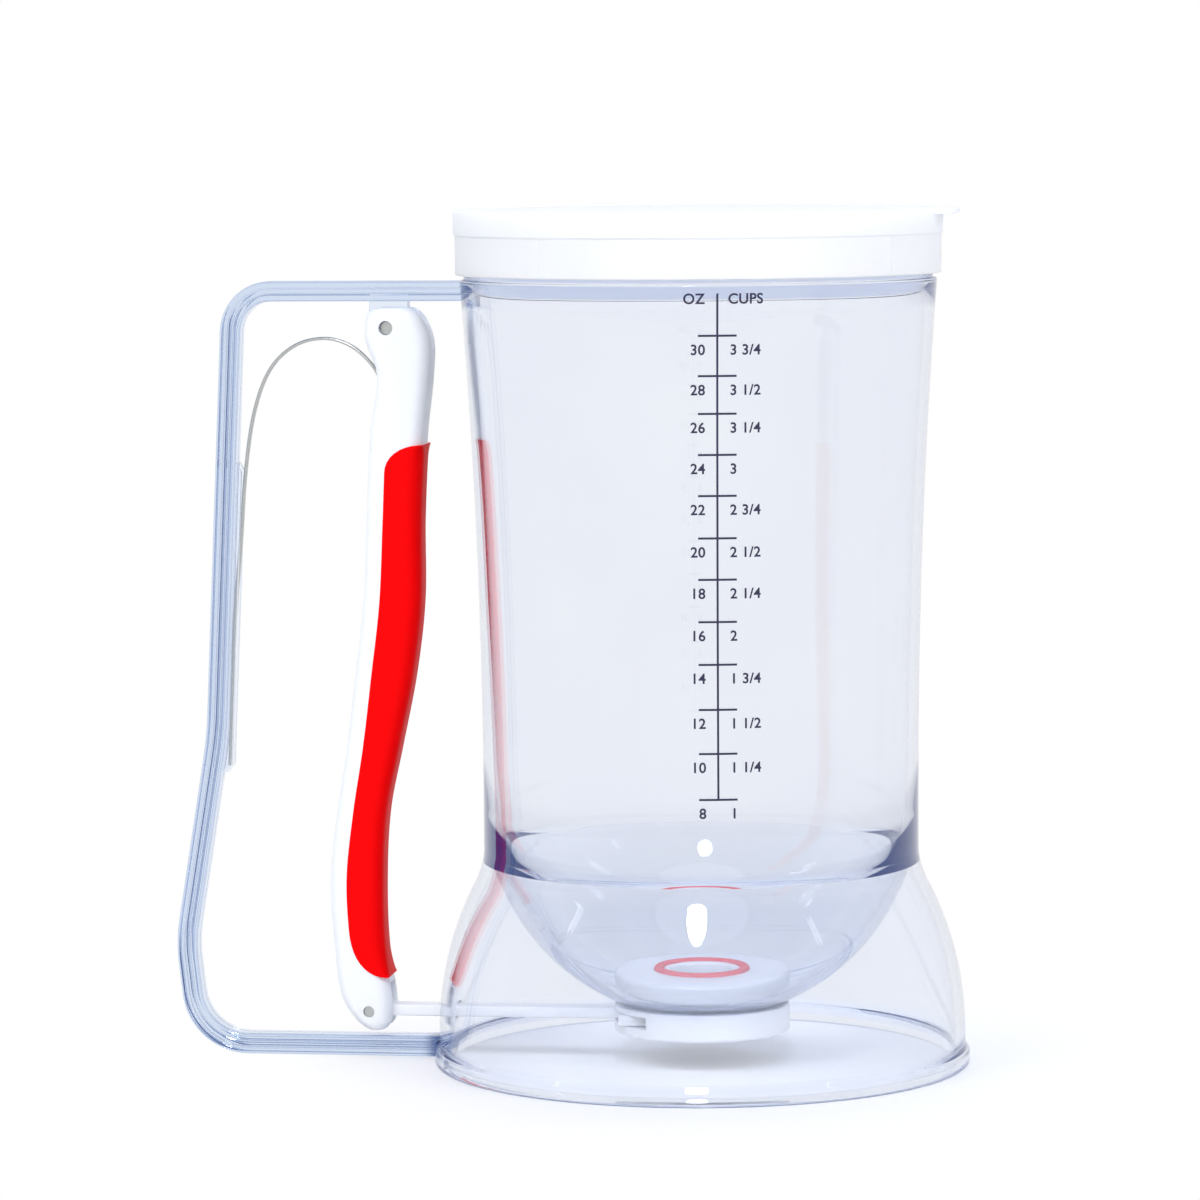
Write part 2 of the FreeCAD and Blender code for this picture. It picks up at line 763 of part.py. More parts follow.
def make_return_spring():
    """Steel strip from inside the hoop, up and over a crown, down into the lever's head."""
    body = new_body("return_spring")
    rest = s["bar_thickness"] / 2 + s["strip_rest_gap"] + s["strip_thickness"] / 2
    end = (-(bar_reach_at(s["strip_end_height"]) - rest), s["strip_end_height"])
    knee = (-(bar_reach_at(s["strip_knee_height"]) - rest), s["strip_knee_height"])
    route = new_sketch(body, "strip_route")
    draw_route(route, [
        end,
        knee,
        (-s["strip_fall_reach"], s["strip_crown_height"]),
        (-s["strip_rise_reach"], s["strip_crown_height"]),
        (-s["strip_anchor_reach"], s["strip_anchor_height"])],
        [s["strip_knee_radius"], s["strip_fall_radius"], s["strip_rise_radius"]])
    section = new_sketch(body, "strip_section", "XY_Plane", s["strip_end_height"])
    half_thick = s["strip_thickness"] / 2
    half_wide = s["strip_width"] / 2
    draw_rectangle(section, (end[0] - half_thick, -half_wide), (end[0] + half_thick, half_wide))
    pipe(body, "strip", section, route)
    place(body)
    return body


def make_gate_slide():
    """Flat gate with a round nose, its pull bar, and the eye that the link pin drags."""
    body = new_body("gate_slide")
    nose = s["outlet_radius"] + s["gate_overlap"]
    half = s["gate_half_width"]
    centre = nose - half
    tail = -(s["housing_radius"] - s["housing_floor"])
    bar_half = s["pull_bar_width"] / 2
    plate = new_sketch(body, "gate_outline", "XY_Plane", s["gate_height"])
    bar_end = -(s["eye_reach"] - s["eye_half_length"] / 2)
    middle = (centre, as_size(0))
    draw_outline(plate, [
        (bar_end, -bar_half),
        (tail, -bar_half),
        (tail, -half),
        ((centre, -half), middle, False),
        ((nose, 0), middle, False),
        (centre, half),
        (tail, half),
        (tail, bar_half),
        (bar_end, bar_half)])
    pad(body, "gate_plate", plate, s["pull_bar_thickness"])
    eye = new_sketch(body, "eye_outline")
    eye_top = gate_top + s["eye_rise"]
    left = -(s["eye_reach"] + s["eye_half_length"])
    right = -(s["eye_reach"] - s["eye_half_length"])
    blend_size = s["eye_rise"]
    draw_outline(eye, [
        (left, gate_under),
        (right + blend_size, gate_under),
        ((right + blend_size, gate_top), (right + blend_size, eye_top), True),
        (right, eye_top),
        (left, eye_top)])
    pad(body, "eye_block", eye, s["pull_bar_width"])
    slot = new_sketch(body, "eye_slot_outline")
    slot_half = s["link_radius"] + s["running_gap"]
    draw_rectangle(slot, (-(s["eye_reach"] + slot_half), gate_under - s["eye_rise"]),
                   (-(s["eye_reach"] - slot_half), s["gate_height"] + s["link_radius"] + s["link_play"]))
    pocket(body, "eye_slot", slot, 2 * s["pull_bar_width"])
    place(body)
    return body


def make_valve_seat():
    """White outlet ring: a flange on the funnel's floor and a spigot through it."""
    body = new_body("valve_seat")
    bore = s["outlet_radius"] + s["seal_wall"] + s["fit_gap"] / 2
    recess = s["seal_flange_radius"] + s["fit_gap"] / 2
    recess_floor = s["seat_top_height"] + s["seal_proud"] - s["seal_flange_thickness"]
    spigot_under = gate_top + s["fit_gap"]
    flat = floor_inner_radius - s["fit_gap"]
    side_under = (s["bowl_centre_height"] - other_leg(bowl_inner, s["seat_radius"])
                  + s["seat_lift"])
    turn_solid(body, "seat_ring", [
        (bore, spigot_under),
        (s["spigot_radius"], spigot_under),
        (s["spigot_radius"], floor_top),
        (flat, floor_top),
        (s["seat_radius"], side_under),
        (s["seat_radius"], s["seat_top_height"]),
        (recess, s["seat_top_height"]),
        (recess, recess_floor),
        (bore, recess_floor)])
    place(body)
    return body


def make_seat_seal():
    """Red soft sleeve with a flange; its lower lip wipes the gate."""
    body = new_body("seat_seal")
    outer = s["outlet_radius"] + s["seal_wall"]
    top = s["seat_top_height"] + s["seal_proud"]
    flange_under = top - s["seal_flange_thickness"]
    lip = gate_top + s["fit_gap"] / 2
    turn_solid(body, "seal_sleeve", [
        (s["outlet_radius"], lip),
        (outer, lip),
        (outer, flange_under),
        (s["seal_flange_radius"], flange_under),
        (s["seal_flange_radius"], top),
        (s["outlet_radius"], top)])
    place(body)
    return body


def make_valve_housing():
    """White cup screwed on the spigot, with the outlet in its floor and the gate's channel."""
    body = new_body("valve_housing")
    well = s["spigot_radius"] + s["fit_gap"] / 2
    channel_floor = gate_under - s["fit_gap"]
    ring_out = s["spigot_radius"] + s["fit_gap"] + s["gasket_width"] + s["fit_gap"]
    rim_edge = (s["bowl_centre_height"] - other_leg(s["bowl_radius"], s["housing_radius"])
                - s["housing_drop"])
    turn_solid(body, "housing_cup", [
        (s["outlet_radius"], housing_under),
        (s["housing_radius"] - s["rim_lip"] / 2, housing_under),
        (s["housing_radius"], housing_under + s["rim_lip"] / 2),
        (s["housing_radius"], rim_edge),
        (ring_out + s["fit_gap"], floor_under - s["fit_gap"]),
        (ring_out, floor_under - s["fit_gap"]),
        (ring_out, housing_top),
        (well, housing_top),
        (well, channel_floor),
        (s["outlet_radius"], channel_floor)])
    channel = new_sketch(body, "channel_outline", "XY_Plane", s["gate_height"])
    half = s["window_half_width"]
    draw_rectangle(channel, (-2 * s["housing_radius"], -half), (0, half))
    pocket(body, "gate_channel", channel, s["pull_bar_thickness"] + 2 * s["fit_gap"])
    place(body)
    return body


def make_bowl_gasket():
    body = new_body("bowl_gasket")
    inner = s["spigot_radius"] + s["fit_gap"]
    outer = inner + s["gasket_width"]
    turn_solid(body, "gasket_ring", [
        (inner, housing_top), (outer, housing_top), (outer, floor_under), (inner, floor_under)])
    place(body)
    return body


def make_lid():
    """White cap: top plate on the jug's rim, skirt outside the neck, plug ring inside, lift tab."""
    body = new_body("lid")
    top = jug_rim + s["lid_plate"]
    low = top - s["lid_skirt_depth"]
    side = s["lid_radius"] - s["lid_band_proud"]
    skirt_in = s["neck_radius"] + s["lid_fit"]
    plug_out = neck_inner - s["lid_fit"]
    plug_in = plug_out - s["plug_wall"]
    plug_low = jug_rim - s["plug_depth"]
    turn_solid(body, "cap", [
        (0, jug_rim),
        (plug_in, jug_rim),
        (plug_in, plug_low),
        (plug_out, plug_low),
        (plug_out, jug_rim),
        (skirt_in, jug_rim),
        (skirt_in, low),
        (side, low),
        (side, top - s["lid_band_height"]),
        (s["lid_radius"], top - s["lid_band_height"]),
        (s["lid_radius"], top),
        (0, top)])
    tab = new_sketch(body, "tab_outline", "XY_Plane", top - s["tab_thickness"])
    half = s["tab_width"] / 2
    end = s["lid_radius"] + s["tab_reach"]
    start = s["lid_radius"] - s["tab_reach"]
    corner = s["tab_corner"]
    draw_outline(tab, [
        (start, -half),
        ((end - corner, -half), (end - corner, corner - half), False),
        (end, corner - half),
        ((end, half - corner), (end - corner, half - corner), False),
        (end - corner, half),
        (start, half)])
    pad(body, "lift_tab", tab, s["tab_thickness"], midplane=False)
    place(body)
    return body


pieces = [
    make_jug_barrel(),
    make_funnel(),
    make_base_skirt(),
    make_handle_frame(),
    *make_lever_and_grip(),
    make_pin("pivot_pin", s["pivot_reach"], s["pivot_height"], s["pivot_radius"],
             s["lever_depth"] - 2 * s["pin_recess"]),
    make_return_spring(),
    make_pin("link_pin", s["eye_reach"], s["gate_height"], s["link_radius"],
             s["lever_depth"] - s["pin_recess"]),
    make_gate_slide(),
    make_valve_seat(),
    make_seat_seal(),
    make_valve_housing(),
    make_bowl_gasket(),
    make_lid(),
]
doc.recompute()

for item in doc.Objects:
    faults = [word for word in item.State if word in ("Invalid", "Error")]
    if faults:
        raise RuntimeError(f"{item.Name} failed: {faults}")
for piece in pieces:
    shape = piece.Shape
    if shape.isNull() or not shape.isValid() or len(shape.Solids) != 1:
        raise RuntimeError(f"{piece.Label} is not one valid solid")

os.makedirs("parts", exist_ok=True)
for piece in pieces:
    piece.Shape.exportStep(f"parts/{piece.Label}.step")
    box = piece.Shape.optimalBoundingBox()
    print(f"{piece.Label}: volume {piece.Shape.Volume:.0f} mm3, X {box.XMin:.1f} to {box.XMax:.1f},"
          f" Y {box.YMin:.1f} to {box.YMax:.1f}, Z {box.ZMin:.1f} to {box.ZMax:.1f}")
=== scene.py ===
import math

import bmesh
import bpy
from mathutils import Matrix, Vector


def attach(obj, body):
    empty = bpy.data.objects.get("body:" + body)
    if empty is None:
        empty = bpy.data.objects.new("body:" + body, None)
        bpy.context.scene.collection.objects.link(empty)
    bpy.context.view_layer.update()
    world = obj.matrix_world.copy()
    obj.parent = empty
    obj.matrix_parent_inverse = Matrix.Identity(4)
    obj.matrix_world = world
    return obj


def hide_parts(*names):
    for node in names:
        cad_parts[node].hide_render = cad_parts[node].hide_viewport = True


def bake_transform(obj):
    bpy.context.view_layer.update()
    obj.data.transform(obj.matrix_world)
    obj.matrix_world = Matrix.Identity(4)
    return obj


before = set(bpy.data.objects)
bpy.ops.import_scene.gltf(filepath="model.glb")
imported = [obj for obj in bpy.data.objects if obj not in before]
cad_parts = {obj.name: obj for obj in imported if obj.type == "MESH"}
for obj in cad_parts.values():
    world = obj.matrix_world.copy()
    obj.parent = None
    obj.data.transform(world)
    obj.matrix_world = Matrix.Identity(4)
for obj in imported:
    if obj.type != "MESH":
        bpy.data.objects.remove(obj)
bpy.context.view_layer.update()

# Lengths below are millimetres about the jug's axis, with the hoop handle towards -X. A corner of an
# outline is x, z and its rounding.
MM = 0.001
AXIS_X = 28.69
FULL_TURN = 2 * math.pi
ON_AXIS = 1e-6
WHITE_LIGHT = (1, 1, 1, 1)

# How fine the meshes are
SHARP_ANGLE = 35.0
LEVER_SHARP_ANGLE = 50.0
BEVEL_ANGLE = 40.0
BEVEL_SEGMENTS = 3
CORNER_STEPS = 5
CORNER_RUN = 1.2
EDGE_SHARE = 0.49
STRAIGHT = 1e-4
JUG_SEGMENTS = 224
CUP_SEGMENTS = 160
VALVE_SEGMENTS = 128
GASKET_SEGMENTS = 96
PIN_SEGMENTS = 40

# Clear jug
WALL = 2.2
WAIST_RADIUS = 47.0
WAIST_HEIGHT = 60.0
SHOULDER_RADIUS = 51.2
SHOULDER_HEIGHT = 169.8
NECK_RADIUS = 50.3
NECK_WALL = 1.7
NECK_INNER = NECK_RADIUS - NECK_WALL
RIM_HEIGHT = 182.9
BOWL_RADIUS = 46.7
BOWL_CENTRE = 56.5
FLOOR_RADIUS = 16.4
SPIGOT_RADIUS = 13.0
SPIGOT_ROOM = 0.1
WELD_HEIGHT = 43.8
FOOT_WALL = 57.0
FOOT_BEND = 7.0
FOOT_RADIUS = 58.0
FOOT_STEP = 5.0
FOOT_TOE = 0.8
BULGE_RADIUS = 70.0
FLARE_RADIUS = 16.6
BULGE_STEPS = 22
FLARE_STEPS = 14
INNER_FLARE_STEPS = 10
BOWL_STEPS = 26
INNER_BOWL_STEPS = 30
SIDE_STEPS = 16
SHOULDER_JOIN = 0.1
BASE_SLOT_ROOM = (0.6, 1.8)
BASE_SLOT_ROUNDING = 0.5
BASE_SLOT_REACH = (-62.0, -50.0)

# Corners of the foot, from its inside face round to its outside, and of the shoulder and rim
FOOT_INNER = FOOT_WALL - WALL
FOOT_CORNERS = (
    (FOOT_INNER, FOOT_BEND - 0.5), (FOOT_INNER, 2.0, 2.0), (FOOT_INNER + FOOT_TOE, 0.0, 0.6),
    (FOOT_RADIUS, 0.0, 0.9), (FOOT_RADIUS, FOOT_STEP - 2.2, 2.0), (FOOT_WALL, FOOT_STEP - 0.4, 2.0),
    (FOOT_WALL, FOOT_BEND - 0.5))
SHOULDER_CORNERS = (
    (SHOULDER_RADIUS - 0.1, SHOULDER_HEIGHT - 1.6), (SHOULDER_RADIUS, SHOULDER_HEIGHT, 0.6),
    (NECK_RADIUS, SHOULDER_HEIGHT, 0.3), (NECK_RADIUS, RIM_HEIGHT, 0.5), (NECK_INNER, RIM_HEIGHT, 0.5),
    (NECK_INNER, SHOULDER_HEIGHT + 1.0))

# Hoop handle
BAR_THICKNESS = 4.4
BAR_DEPTH = 6.5
BAR_CORNER = 1.0
TOP_BAR = 167.2
BASE_BAR = 2.6
HOOP_ROUTE = ((-48.0, TOP_BAR), (-101.5, TOP_BAR), (-106.1, 70.0), (-113.5, 25.0), (-111.0, BASE_BAR),
              (-56.0, BASE_BAR))
HOOP_RADII = (9.0, 90.0, 35.0, 12.5)
HOOP_STEPS = 12
HOOP_RUN = 4.0
HOOP_SEAT_HAIR = 0.03
HOOP_SEAT_FOOT = (
    (0.0, -1.0), (FOOT_RADIUS, -1.0), (FOOT_RADIUS, FOOT_STEP - 1.2), (FOOT_WALL, FOOT_STEP - 0.2))
PIVOT = (-67.2, 159.3)
LUG_RADIUS = 4.2
LUG_THICKNESS = 3.4

# Grooves along the hoop: place either side of the middle, half width and depth
BAR_GROOVE = 0.6
GROOVE_HALF = 0.32
GROOVE_DEPTH = 0.35
GROOVE_CORNER = 0.1

# Guide ribs on the hoop, either side of the spring strip
GUIDE_TOP = 128.0
GUIDE_END = 64.0
GUIDE_RISE = 1.3
GUIDE_WIDTH = 1.2
GUIDE_SUNK = 1.0
GUIDE_FOOT_RUN = 3.5
GUIDE_HEAD_RUN = 4.0
GUIDE_ROUNDING = 1.5
GUIDE_END_ROUNDING = 1.0
SIDE_ROOM = 0.4

# Lever: share of the way from the foot datum to the pivot, then how far the back face and the jug-side
# face lie from the straight line between the link pin and the pivot
LEVER_STATIONS = (
    (0.000, 1.8, 4.6), (0.044, 6.4, 4.8), (0.116, 8.4, 2.6), (0.214, 9.7, 1.7), (0.312, 8.6, 2.1),
    (0.404, 6.8, 4.5), (0.508, 5.3, 7.2), (0.613, 3.9, 8.6), (0.730, 3.6, 8.2), (0.848, 3.3, 8.6),
    (0.933, 2.1, 9.6), (0.985, 4.9, 9.4), (1.025, 4.7, 6.6))
EYE = (-72.5, 10.45)
LEVER_DATUM = 6.25
LEVER_CROWN = 0.5
LEVER_DEPTH = 11.0
LEVER_ROUNDING = 3.2
LEVER_FOOT_END = (2.0, 6)
LEVER_HEAD_END = (2.5, 6)
LEVER_END_REACH = 2.4
LEVER_END_SIDES = 0.6
LEVER_RUN = 1.5
SECTION_STEPS = 6
FORK_REACH = 30
FORK_TOP = 12
FOOT_SLOT = (-3.6, -2, 20, 16.65)
FOOT_SLOT_ROUNDING = 0.8
ANCHOR_SLOT = ((-93.5, 146.05), (-67.65, 146.05), (-72.15, 158.15), (-93.5, 158.15))
PIVOT_BORE = 1.55
LINK_BORE = 1.25
BORE_STEPS = 32
BORE_REACH = 12

# Soft grip on the lever
GRIP_LOW = 18.0
GRIP_TOP = 134.0
GRIP_INSET = 3.9
GRIP_PROUD = 0.3
GRIP_ROUNDING = 3.4
GRIP_BACK_ROUNDING = 0.6
GRIP_FOOT_END = (10, 10)
GRIP_HEAD_END = (6, 8)
GRIP_END_POWER = 2.2
GRIP_END_WIDTH = 1.0

# Pins: radius and half length
PIVOT_PIN = (1.5, 4.0)
LINK_PIN = (1.25, 4.75)
PIN_ROUNDING = 0.25

# Spring strip
STRIP_THICKNESS = 0.7
STRIP_WIDTH = 1.6
STRIP_GAP = 0.3
STRIP_ROUNDING = 0.3
STRIP_CORNER_STEPS = 3
STRIP_RUN = 1.2
STRIP_FLAT = (63.7, 80.0, 97.0)
STRIP_ARCH = ((-100.6, 112.0), (-99.3, 128.0), (-97.2, 141.0), (-93.6, 150.2), (-88.0, 155.4), (-81.3, 156.9),
              (-75.6, 155.2), (-71.2, 151.3), (-68.8, 147.2))

# Pull bar and gate
BAR_HALF = 2.5
GATE_HEIGHT = 10.45
GATE_THICKNESS = 2.4
GATE_TOP = GATE_HEIGHT + GATE_THICKNESS / 2
GATE_UNDER = GATE_HEIGHT - GATE_THICKNESS / 2
GATE_HALF = 12.0
GATE_NOSE = 9.1
GATE_NOSE_STEPS = 40
GATE_TAIL = -16.8
GATE_ROUNDING = 0.35
EYE_HALF = 2.8
EYE_FLARE = 3.0
EYE_FLARE_STEPS = 8
EYE_ROUNDING = 0.3
EYE_SLOT_HALF = 1.32
EYE_SLOT_TOP = 2.85
EYE_SLOT_ROUNDING = 0.1
EYE_SLOT_LOW = GATE_UNDER - 2
EYE_SLOT_REACH = 8
BAR_END = 2

# Outlet ring, seal, housing and gasket
OUTLET_RADIUS = 6.5
SEAT_RADIUS = 19.2
SEAT_TOP = 20.0
SEAT_UNDER = 11.75
SEAT_LEDGE = 15.0
SEAT_RIM = (15.8, 16.65)
SEAT_GROOVE = 19.2
SEAT_NECK = 17.0
SEAT_RECESS = 1.65
SEAT_LIP = 0.1
SEAL_FLANGE = 10.4
SEAL_TOP = 20.7
SEAL_RING = 8.3
SEAL_ROOM = 0.05
HOUSING_RADIUS = 19.0
HOUSING_UNDER = 6.95
HOUSING_RIM = (12.9, 12.65)
HOUSING_RING = 2.8
HOUSING_ROOM = 0.05
GASKET_WIDTH = 2.6
GASKET_LOW = 12.0
GASKET_TOP = 12.8
CHANNEL_ROOM = 0.1
CHANNEL_TOP = 1.3
CHANNEL_ROUNDING = 0.2
CHANNEL_REACH = (-38.0, 0.0)
WINDOW_HALF = 16.0

# Lid
LID_TOP = 184.5
LID_RADIUS = 52.5
LID_LOW = 170.7
LID_SIDE = LID_RADIUS - 0.4
LID_BAND = LID_TOP - 5.4
LID_ROOM = 0.3
PLUG_WALL = 1.4
PLUG_LOW = RIM_HEIGHT - 5.0
TAB_CORNERS = ((48.0, -11.0), (55.5, -11.0, 2.4), (55.5, 11.0, 2.4), (48.0, 11.0))
TAB_UNDER = LID_TOP - 1.2
TAB_TOP = LID_TOP - 0.05
TAB_ROUNDING = 0.3
LID_GROOVES = 8
LID_GROOVE_START = math.radians(12.3)
LID_GROOVE_HALF = 0.25
LID_GROOVE_DEPTH = 0.12
LID_GROOVE_PAST = 1.0

# Printed scale: its marks from the top down, then line, lettering and where it sits on the wall
OUNCES = (30, 28, 26, 24, 22, 20, 18, 16, 14, 12, 10, 8)
TICKS = (159.3, 151.0, 143.2, 134.7, 126.2, 117.4, 108.8, 100.0, 91.1, 81.7, 72.5, 62.9)
QUARTERS = ("", "1/4", "1/2", "3/4")
LINE_HALF = 0.22
LINE_TOP = 168.0
TICK_HALF = 4.0
LETTER_SIZE = 3.0
LETTER_WEIGHT = 0.02
LETTER_SPACING = 1.05
LABEL_DROP = 3.0
LABEL_SPOTS = (-2.5, 2.6)
HEADING_HEIGHT = 166.8
HEADING_SPOTS = (-2.6, 2.2)
SAME_SPOT = 1e-5
PRINT_CELL = (1.0, 3.0)
PRINT_LIFT = 0.04
PRINT_THICKNESS = 0.05
PRINT_TURN = math.radians(11.2)

# Depth of the moulded skin's bump, in metres
BUMP_DISTANCE = 0.0001

# Clear plastic, with the tint of light that goes straight through, and a painted deep blue glow where a ray
# is mirrored many times inside
CLEAR_IOR = 1.57
SHADOW_TINT = (0.955, 0.965, 0.985, 1)
TRAPPED_MIRRORINGS = 3.5
PAINTED_TRAPPED_GLOW = (0.012, 0.06, 0.24, 1.0)

# Painted navy shade at the ends of the hoop, where it meets the jug: the colour is full from a slanted line
# inwards, which lies this far from the jug's axis at the floor and at the rim, and fades over the length
# outside it
WELD_LOW = 57.5
WELD_HIGH = 45.5
WELD_LENGTH = 4.5
WELD_PAINTED_SHADE = (0.015, 0.09, 0.30, 1.0)

# Painted glow on the lid's inner faces, standing in for light that comes through the lid
LID_PAINTED_GLOW = (0.29, 0.32, 0.40, 1.0)
LID_GLOW_TOP = LID_TOP - 0.5
LID_GLOW_RADIUS = NECK_RADIUS + 0.6

# Floor and sky, in metres; the fade is about the jug's axis
FLOOR_REACH = 12.0
FLOOR_COLOUR = (0.82, 0.825, 0.83, 1)
FLOOR_ROUGHNESS = 0.6
FLOOR_SHINE = 0.1
FLOOR_GLOW = 0.16
FLOOR_FADE = (0.048, 0.10)
SKY_EDGE = (0.30, 0.75)
SKY_COLOUR = (0.34, 0.42, 0.60, 1.0)
SKY_STRENGTH = 0.75

# Lamps: name, place, width, height, power, and whether mirrors and clear pieces show it
LAMPS = (
    ("key_lamp", (-0.9, -1.1, 1.3), 0.9, 0.9, 10.5, False),
    ("fill_lamp", (1.2, -0.7, 0.9), 0.9, 0.9, 7.5, False),
    ("top_lamp", (0.1, 0.5, 1.5), 1.0, 1.0, 4.5, False),
    ("window_lamp", (0.12, -1.3, 1.25), 0.26, 0.56, 9.0, True),
    ("left_glint", (-1.25, -0.60, 0.95), 0.05, 0.30, 0.1, True),
    ("right_glint", (1.40, -0.55, 0.95), 0.05, 0.30, 0.1, True))
LAMP_TARGET = (-20, 0, 90)
BOUNCES = 24

# Camera: its place about the jug's axis, before the jug is turned away from square-on
CAMERA_SPOT = (36.2, -1160.0, 203.5)
CAMERA_PITCH = math.radians(5.07)
CAMERA_YAW = math.radians(-2.85)
CAMERA_ROLL = math.radians(-0.42)
CAMERA_LENS = 162.15
CAMERA_SENSOR = 36.0
CAMERA_FAR = 20
JUG_TURN = math.radians(5.0)


# Outlines and routes

def arc(centre, radius, start, stop, steps):
    """Points of an arc in the XZ plane, angles in degrees."""
    points = []
    for step in range(steps + 1):
        angle = math.radians(start + (stop - start) * step / steps)
        points.append((centre[0] + radius * math.cos(angle), centre[1] + radius * math.sin(angle)))
    return points


def angle_of(centre, point):
    return math.degrees(math.atan2(point[1] - centre[1], point[0] - centre[0]))


def rounded(corners, closed=True, steps=CORNER_STEPS):
    """Outline with its corners rounded. A corner is (x, z) or (x, z, radius)."""
    count = len(corners)
    points = []
    for number, corner in enumerate(corners):
        here = Vector(corner[:2])
        radius = corner[2] if len(corner) > 2 else 0.0
        at_end = number in (0, count - 1) and not closed
        if radius <= 0 or at_end:
            points.append(tuple(here))
            continue
        back = Vector(corners[number - 1][:2]) - here
        ahead = Vector(corners[(number + 1) % count][:2]) - here
        turn = math.pi - back.angle(ahead)
        if turn < STRAIGHT:
            points.append(tuple(here))
            continue
        cut = min(radius * math.tan(turn / 2), back.length * EDGE_SHARE, ahead.length * EDGE_SHARE)
        radius = cut / math.tan(turn / 2)
        first = here + back.normalized() * cut
        last = here + ahead.normalized() * cut
        middle = here + (back.normalized() + ahead.normalized()).normalized() * radius / math.cos(turn / 2)
        a = first - middle
        sweep = a.angle_signed(last - middle)
        pieces = max(steps, int(radius * abs(sweep) / CORNER_RUN))
        for step in range(pieces + 1):
            part = -sweep * step / pieces
            turned = Vector((a.x * math.cos(part) - a.y * math.sin(part),
                             a.x * math.sin(part) + a.y * math.cos(part)))
            points.append(tuple(middle + turned))
    return points


def box_outline(x0, z0, x1, z1, rounding=0.0, steps=CORNER_STEPS):
    return rounded([(x, z, rounding) for x, z in ((x0, z0), (x1, z0), (x1, z1), (x0, z1))], steps=steps)


def spread(points, longest):
    """Adds points so that no run of an open route is longer than the limit."""
    result = [points[0]]
    for a, b in zip(points, points[1:]):
        parts = max(1, math.ceil(math.dist(a, b) / longest))
        for part in range(1, parts + 1):
            result.append(tuple(x + (y - x) * part / parts for x, y in zip(a, b)))
    return result


def smooth_value(stations, at):
    """Smooth curve through (place, value) stations."""
    if at <= stations[0][0]:
        return stations[0][1]
    for number in range(len(stations) - 1):
        (x0, y0), (x1, y1) = stations[number], stations[number + 1]
        if x0 <= at <= x1:
            before = stations[max(number - 1, 0)]
            after = stations[min(number + 2, len(stations) - 1)]
            width = x1 - x0
            slope0 = (y1 - before[1]) / (x1 - before[0]) * width
            slope1 = (after[1] - y0) / (after[0] - x0) * width
            t = (at - x0) / width
            return ((2 * t ** 3 - 3 * t ** 2 + 1) * y0 + (t ** 3 - 2 * t ** 2 + t) * slope0
                    + (3 * t ** 2 - 2 * t ** 3) * y1 + (t ** 3 - t ** 2) * slope1)
    return stations[-1][1]


def smooth_route(points, longest):
    """Smooth route through points, straight where they lie in line."""
    route = []
    count = len(points)
    for number in range(count - 1):
        p1, p2 = Vector(points[number]), Vector(points[number + 1])
        p0 = Vector(points[number - 1]) if number else p1 * 2 - p2
        p3 = Vector(points[number + 2]) if number + 2 < count else p2 * 2 - p1
        steps = max(1, math.ceil((p2 - p1).length / longest))
        for step in range(steps):
            t = step / steps
            route.append(tuple(0.5 * (2 * p1 + (p2 - p0) * t + (2 * p0 - 5 * p1 + 4 * p2 - p3) * t * t
                                      + (3 * p1 - p0 - 3 * p2 + p3) * t ** 3)))
    return route + [tuple(points[-1])]


# Meshes

def to_world(x, y, z):
    return Vector(((x + AXIS_X) * MM, y * MM, z * MM))


def shade(mesh, sharp_angle=SHARP_ANGLE):
    mesh.shade_smooth()
    mesh.set_sharp_from_angle(angle=math.radians(sharp_angle))


def finish_mesh(name, bm, sharp_angle=SHARP_ANGLE):
    bmesh.ops.recalc_face_normals(bm, faces=bm.faces)
    mesh = bpy.data.meshes.new(name)
    bm.to_mesh(mesh)
    bm.free()
    shade(mesh, sharp_angle)
    piece = bpy.data.objects.new(name, mesh)
    bpy.context.scene.collection.objects.link(piece)
    return piece


def turn_piece(name, outline, segments, place=to_world):
    """Turns an outline of (radius, height) about the jug's axis, or about the axis that place sets."""
    bm = bmesh.new()
    rings = []
    for radius, height in outline:
        ring = []
        for step in range(segments if radius > ON_AXIS else 1):
            angle = FULL_TURN * step / segments
            ring.append(bm.verts.new(place(radius * math.cos(angle), radius * math.sin(angle), height)))
        rings.append(ring)
    for number, ring in enumerate(rings):
        following = rings[(number + 1) % len(rings)]
        if len(ring) == 1 and len(following) == 1:
            continue
        for step in range(segments):
            ahead = (step + 1) % segments
            corners = [ring[step % len(ring)], ring[ahead % len(ring)],
                       following[ahead % len(following)], following[step % len(following)]]
            bm.faces.new(list(dict.fromkeys(corners)))
    return finish_mesh(name, bm)


def loft_piece(name, rings, sharp_angle=SHARP_ANGLE):
    """Joins rings of equal count, with flat ends."""
    bm = bmesh.new()
    loops = [[bm.verts.new(to_world(*point)) for point in ring] for ring in rings]
    for a, b in zip(loops, loops[1:]):
        for number in range(len(a)):
            ahead = (number + 1) % len(a)
            bm.faces.new((a[number], a[ahead], b[ahead], b[number]))
    bm.faces.new(loops[0])
    bm.faces.new(loops[-1])
    return finish_mesh(name, bm, sharp_angle)


def slab_piece(name, outline, low, high, plane="XZ", rounding=0.0):
    """Flat outline with thickness, along Y for one in the XZ plane and along Z for one in XY."""
    piece = loft_piece(name, [[(a, level, b) if plane == "XZ" else (a, b, level) for a, b in outline]
                              for level in (low, high)])
    if rounding:
        bevel = piece.modifiers.new("edges", "BEVEL")
        bevel.width = rounding * MM
        bevel.segments = BEVEL_SEGMENTS
        bevel.limit_method = "ANGLE"
        bevel.angle_limit = math.radians(BEVEL_ANGLE)
        apply_modifiers(piece)
    return piece


def apply_modifiers(piece):
    graph = bpy.context.evaluated_depsgraph_get()
    mesh = bpy.data.meshes.new_from_object(piece.evaluated_get(graph))
    piece.modifiers.clear()
    old = piece.data
    piece.data = mesh
    bpy.data.meshes.remove(old)


